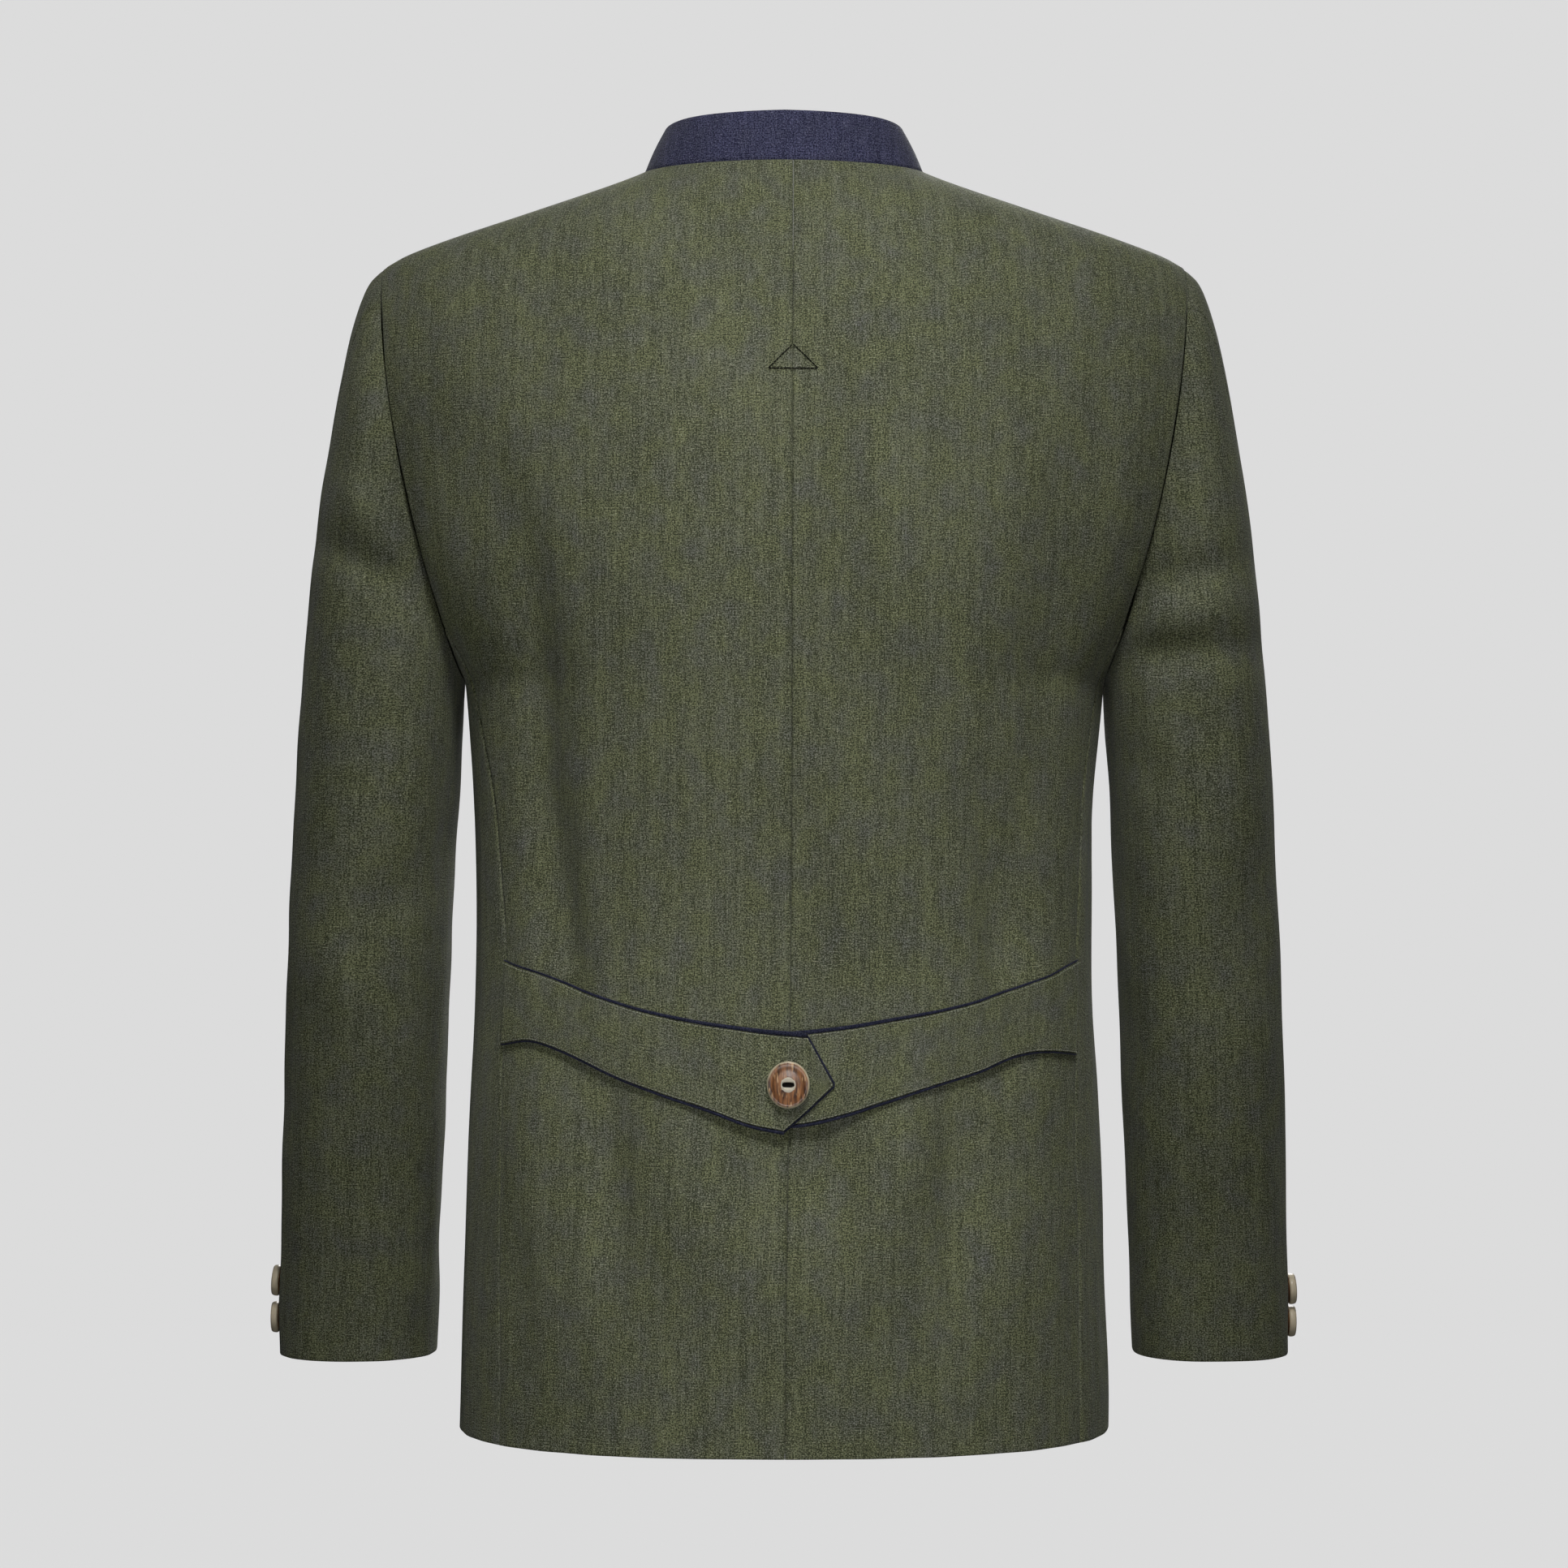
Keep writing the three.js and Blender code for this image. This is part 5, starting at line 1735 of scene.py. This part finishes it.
@dataclass
class HornButton:
    """A horn button with a polished rim and a bone eyelet round a slot."""

    name: str
    place: Array
    out: Array
    radius: float
    rim: float
    middle: float
    narrow: float = 1.0
    gap: float = 0.35
    around: int = 48
    eyelet: float = 0.31

    def rings(self) -> Array:
        """The profile from the slot's floor, over the face and round to the back.

        Returns:
            For each ring: its share of roundness, its radius and its height.
        """
        r, hole, low, rim = self.radius, self.eyelet * self.radius, self.middle, self.rim
        return np.array([
            (0, 0.02 * hole, low - 1.5), (0, 0.80 * hole, low - 1.5), (0, 0.84 * hole, low - 1.2),
            (0, 0.85 * hole, low - 0.1), (0.15, 0.88 * hole, low + 0.12), (0.8, 0.95 * hole, low + 0.2),
            (1, hole, low + 0.12), (1, 1.04 * hole, low - 0.06), (1, 1.12 * hole, low),
            (1, 0.55 * r, low + 0.12 * (rim - low)), (1, 0.72 * r, low + 0.5 * (rim - low)),
            (1, 0.84 * r, rim - 0.02), (1, 0.90 * r, rim - 0.06), (1, 0.945 * r, 0.93 * rim),
            (1, 0.975 * r, 0.8 * rim), (1, 0.995 * r, 0.6 * rim), (1, r, 0.4 * rim),
            (1, 0.985 * r, 0.24 * rim), (1, 0.93 * r, 0.1 * rim), (1, 0.82 * r, 0.01),
            (1, 0.5 * r, 0.0), (1, 0.02 * r, 0.0),
        ])

    def build(self, node: str | None = None) -> bpy.types.Object:
        """Make and dress the button.

        Args:
            node: The solid that it stands for, if its name differs.

        Returns:
            The new object.
        """
        turn = np.linspace(0, 2 * math.pi, self.around + 1)
        rounds, radii, heights = (column[:, None] for column in self.rings().T)
        slot_x, slot_y = signed_power(np.cos(turn), 0.62), 0.42 * signed_power(np.sin(turn), 0.75)
        x = radii * (rounds * np.cos(turn) * self.narrow + (1 - rounds) * slot_x)
        y = radii * (rounds * np.sin(turn) + (1 - rounds) * slot_y)
        right = unit(np.cross(UPWARDS, self.out))
        up = np.cross(self.out, right)
        base = self.place + self.gap * self.out
        points = base + x[..., None] * right + y[..., None] * up + heights[..., None] * self.out
        piece = grid_mesh(self.name, points, np.stack([x, y], axis=-1), wrap=True)
        finish = HornFinish(f"horn_{self.radius:.0f}", self.radius, self.narrow)
        for each in (finish, BONE, DARK_SLOT):
            piece.data.materials.append(cloth_material(each))
        self.share_out(piece, base)
        close_ends(piece)
        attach(piece, ROOT)
        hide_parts(node or self.name)
        log.info("%s: %.1f mm across", self.name, 2 * self.radius)
        return piece

    def share_out(self, piece: bpy.types.Object, base: Array) -> None:
        """Give each band of faces its finish, by how far it lies from the middle.

        Args:
            piece: The button.
            base: The middle of its back, in mm.
        """
        hole = self.eyelet * self.radius
        for face in piece.data.polygons:
            away = np.array(tuple(face.center)) / MM - base
            height = float(away @ self.out)
            flat = away - height * self.out
            reach = float(np.linalg.norm(flat))
            if height >= 0.3 * self.middle and reach <= 1.02 * hole:
                face.material_index = 2 if height < self.middle - 0.7 else 1


@dataclass
class Buttons:
    """All the buttons: one on the belt, five down the front, two on each cuff."""

    body: BodyForm
    sleeves: dict
    belt: HalfBelt
    belt_place: tuple = (-2.3, -512.9)
    belt_seat: float = 0.9
    front_heights: tuple = (-84, -182, -280, -378, -476)
    cuff_heights: dict = field(default_factory=lambda: {Side.LEFT: (-638, -659.5), Side.RIGHT: (-643, -662)})

    def build(self) -> list[bpy.types.Object]:
        """Make and dress every button."""
        pieces = [self.on_belt(), *(self.on_front(i, z) for i, z in enumerate(self.front_heights, 1))]
        for side, heights in self.cuff_heights.items():
            pieces.extend(self.on_cuff(side, i, z) for i, z in enumerate(heights, 1))
        return pieces

    def on_belt(self) -> bpy.types.Object:
        """The oval button that joins the halves of the belt."""
        x, z = (np.float64(value) for value in self.belt_place)
        face = self.belt.form.on_back(x, z, self.belt.lift(x) + BELT_STAND)
        smooth = self.body.smooth()
        out = smooth.normal(smooth.angle_at(x, z), z)
        place = np.array([x, face[1] + self.belt_seat, z])
        oval = {"narrow": 0.91, "around": 72}
        return HornButton("back_button", place, out, radius=12.9, rim=4.4, middle=3.4, **oval).build()

    def on_front(self, number: int, z: float) -> bpy.types.Object:
        """A button of the front closing.

        Args:
            number: Its number from the top.
            z: Its height, in mm.

        Returns:
            The new object.
        """
        angle = np.float64(math.pi)
        place, out = self.body.point(angle, z), self.body.normal(angle, z)
        return HornButton(f"front_button_{number}", place, out, radius=10.0, rim=4.0, middle=3.1).build()

    def on_cuff(self, side: Side, number: int, z: float) -> bpy.types.Object:
        """A button beside a cuff's hind seam.

        Args:
            side: The wearer's side.
            number: Its number from the top.
            z: Its height, in mm.

        Returns:
            The new object.
        """
        form = self.sleeves[side]
        angle, ring = np.float64(math.radians(-3)), np.float64(form.ring_at(z))
        place, out = form.point(angle, ring), form.normal(angle, ring)
        name = f"cuff_button_{side.word}_{number}"
        return HornButton(name, place, out, radius=9.0, rim=4.6, middle=3.7).build()


# ---- Small sewing ------------------------------------------------------------

@dataclass
class SmallSewing:
    """The triangle that holds the pleat's top, and the front buttonholes."""

    form: BodyForm
    apex: tuple = (-4.9, -108.9)
    base: tuple = ((-18.6, -122.4), (8.6, -122.5))
    pitch: float = 2.1
    line_points: int = 60

    def row(self, start: tuple, end: tuple, front: bool = False) -> list:
        """Stitch places along a straight line on the body.

        Args:
            start: First x and z, in mm.
            end: Last x and z, in mm.
            front: Whether it lies on the front.

        Returns:
            The places.
        """
        share = np.linspace(0, 1, self.line_points)
        x = start[0] + share * (end[0] - start[0])
        z = start[1] + share * (end[1] - start[1])
        angle = self.form.angle_at(x, z, front)
        return spaced_along(self.form.point(angle, z), self.form.normal(angle, z), self.pitch)

    def triangle(self) -> bpy.types.Object:
        """The stitched triangle at the top of the pleat."""
        corners = (self.apex, *self.base, self.apex)
        places = [place for start, end in zip(corners, corners[1:]) for place in self.row(start, end)]
        # the near-black thread paints the shade of the stitch grooves
        return Stitches(
            "pleat_triangle", places, GREEN_THREAD_AND_SHADE, "linen_green", length=2.5, thickness=0.9,
        ).build()

    def buttonholes(self, heights: tuple) -> bpy.types.Object:
        """The worked buttonholes under the front buttons.

        Args:
            heights: The buttons' heights, in mm.

        Returns:
            The new object.
        """
        places = []
        for height in heights:
            for line in (-0.75, 0.75):
                for x in np.arange(-12.5, 3.0, 0.75):
                    z = np.float64(height + line)
                    angle = self.form.angle_at(x, z, True)
                    places.append((self.form.point(angle, z), UPWARDS, self.form.normal(angle, z)))
        return Stitches(
            "buttonholes", places, GREEN_THREAD_AND_SHADE, "linen_green", length=1.5, thickness=0.55, sunk=0.2,
        ).build()


# ---- The studio --------------------------------------------------------------

@dataclass
class Studio:
    """A pale room with soft light, mostly from behind the jacket, where the camera stands."""

    floor: float = -1.5
    reach: float = 7.0
    squat: float = 0.7
    paper: float = 0.73
    distance: float = 2.4
    height: float = -0.349
    lens: float = 96.2
    air: float = 0.05
    aim: tuple = (0, 0.05, -0.33)

    def room(self) -> bpy.types.Object:
        """The floor and the wall round it, in one smooth sheet."""
        mesh = bmesh.new()
        bmesh.ops.create_uvsphere(mesh, u_segments=64, v_segments=40, radius=self.reach)
        for vertex in mesh.verts:
            vertex.co.z = max(vertex.co.z * self.squat, self.floor)
        bmesh.ops.reverse_faces(mesh, faces=mesh.faces)
        room = new_object("studio_room", mesh)
        paper = PlainFinish("studio_paper", (self.paper,) * 3, 0.9, 0.004, 3.0, glow=0.975)
        room.data.materials.append(paper.material())
        for ray in ("visible_diffuse", "visible_glossy", "visible_transmission", "visible_shadow"):
            setattr(room, ray, False)
        return room

    def light(self, name: str, place: tuple, size: tuple, watts: float, spread: float = 180.0) -> None:
        """Hang a tall soft box that looks at the jacket's middle.

        Args:
            name: Its name.
            place: Where it hangs, in metres.
            size: Its width and height, in metres.
            watts: Its power.
            spread: The angle that its louvres let through, in degrees.
        """
        lamp = bpy.data.lights.new(name, "AREA")
        lamp.shape = "RECTANGLE"
        lamp.size, lamp.size_y = size
        lamp.energy = watts
        lamp.spread = math.radians(spread)
        holder = bpy.data.objects.new(name, lamp)
        holder.location = place
        holder.rotation_euler = (Vector(self.aim) - Vector(place)).to_track_quat("-Z", "Y").to_euler()
        bpy.context.scene.collection.objects.link(holder)

    def camera(self) -> None:
        """Stand the camera behind the jacket, level with its middle."""
        lens = bpy.data.cameras.new("camera")
        lens.lens = self.lens
        lens.sensor_width = 36.0
        lens.clip_end = 50.0
        holder = bpy.data.objects.new("camera", lens)
        holder.location = (0, self.distance, self.height)
        holder.rotation_euler = Euler((math.pi / 2, 0, math.pi))
        bpy.context.scene.collection.objects.link(holder)
        bpy.context.scene.camera = holder

    def build(self) -> None:
        """Set the room, the lights and the camera."""
        self.camera()
        self.room()
        self.light("key_light", (-0.15, 1.5, 1.75), (0.25, 1.2), watts=1.6, spread=30)
        self.light("fill_light", (0.05, 2.7, -0.55), (0.2, 1.0), watts=0.42, spread=21)
        self.light("left_light", (2.2, 0.7, 0.5), (0.5, 1.2), watts=0.85)
        self.light("right_light", (-2.2, 0.7, 0.5), (0.5, 1.2), watts=0.85)
        self.light("front_light", (-0.3, -2.6, 0.9), (1.4, 1.4), watts=48)
        world = bpy.data.worlds.new("studio_air")
        world.use_nodes = True
        inputs = world.node_tree.nodes["Background"].inputs
        inputs["Color"].default_value = colour(1, 1, 1)
        inputs["Strength"].default_value = self.air
        bpy.context.scene.world = world
        bpy.context.scene.view_settings.view_transform = "Standard"


# ---- The jacket --------------------------------------------------------------


def main() -> None:
    """Build and dress the jacket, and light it."""
    logging.basicConfig(level=logging.INFO, format="%(name)s: %(message)s")
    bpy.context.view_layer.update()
    body = BodyForm()
    sleeves = {
        side: SleeveForm(side, behind, before, Rumple(depth=0.3, seed=seed), body)
        for side, behind, before, seed in (
            (Side.LEFT, LEFT_SLEEVE_BACK, LEFT_SLEEVE_FRONT, 21),
            (Side.RIGHT, RIGHT_SLEEVE_BACK, RIGHT_SLEEVE_FRONT, 34),
        )
    }
    pieces = Bodice(body).build()
    for side, form in sleeves.items():
        pieces.extend(Sleeve(side, form).build())
    pieces.extend(StandCollar(body).build())
    under_belt = replace(body, back_folds=BELT_FOLDS)
    left_belt = HalfBelt(Side.LEFT, BELT_LEFT, BELT_TIP, under_belt)
    pieces.extend(left_belt.build())
    pieces.extend(HalfBelt(Side.RIGHT, BELT_RIGHT, None, under_belt).build())
    buttons = Buttons(body, sleeves, left_belt)
    pieces.extend(buttons.build())
    sewing = SmallSewing(body)
    pieces.extend([sewing.triangle(), sewing.buttonholes(buttons.front_heights)])
    Studio().build()
    log.info("%d pieces", len(pieces))


if __name__ == "__main__":
    main()
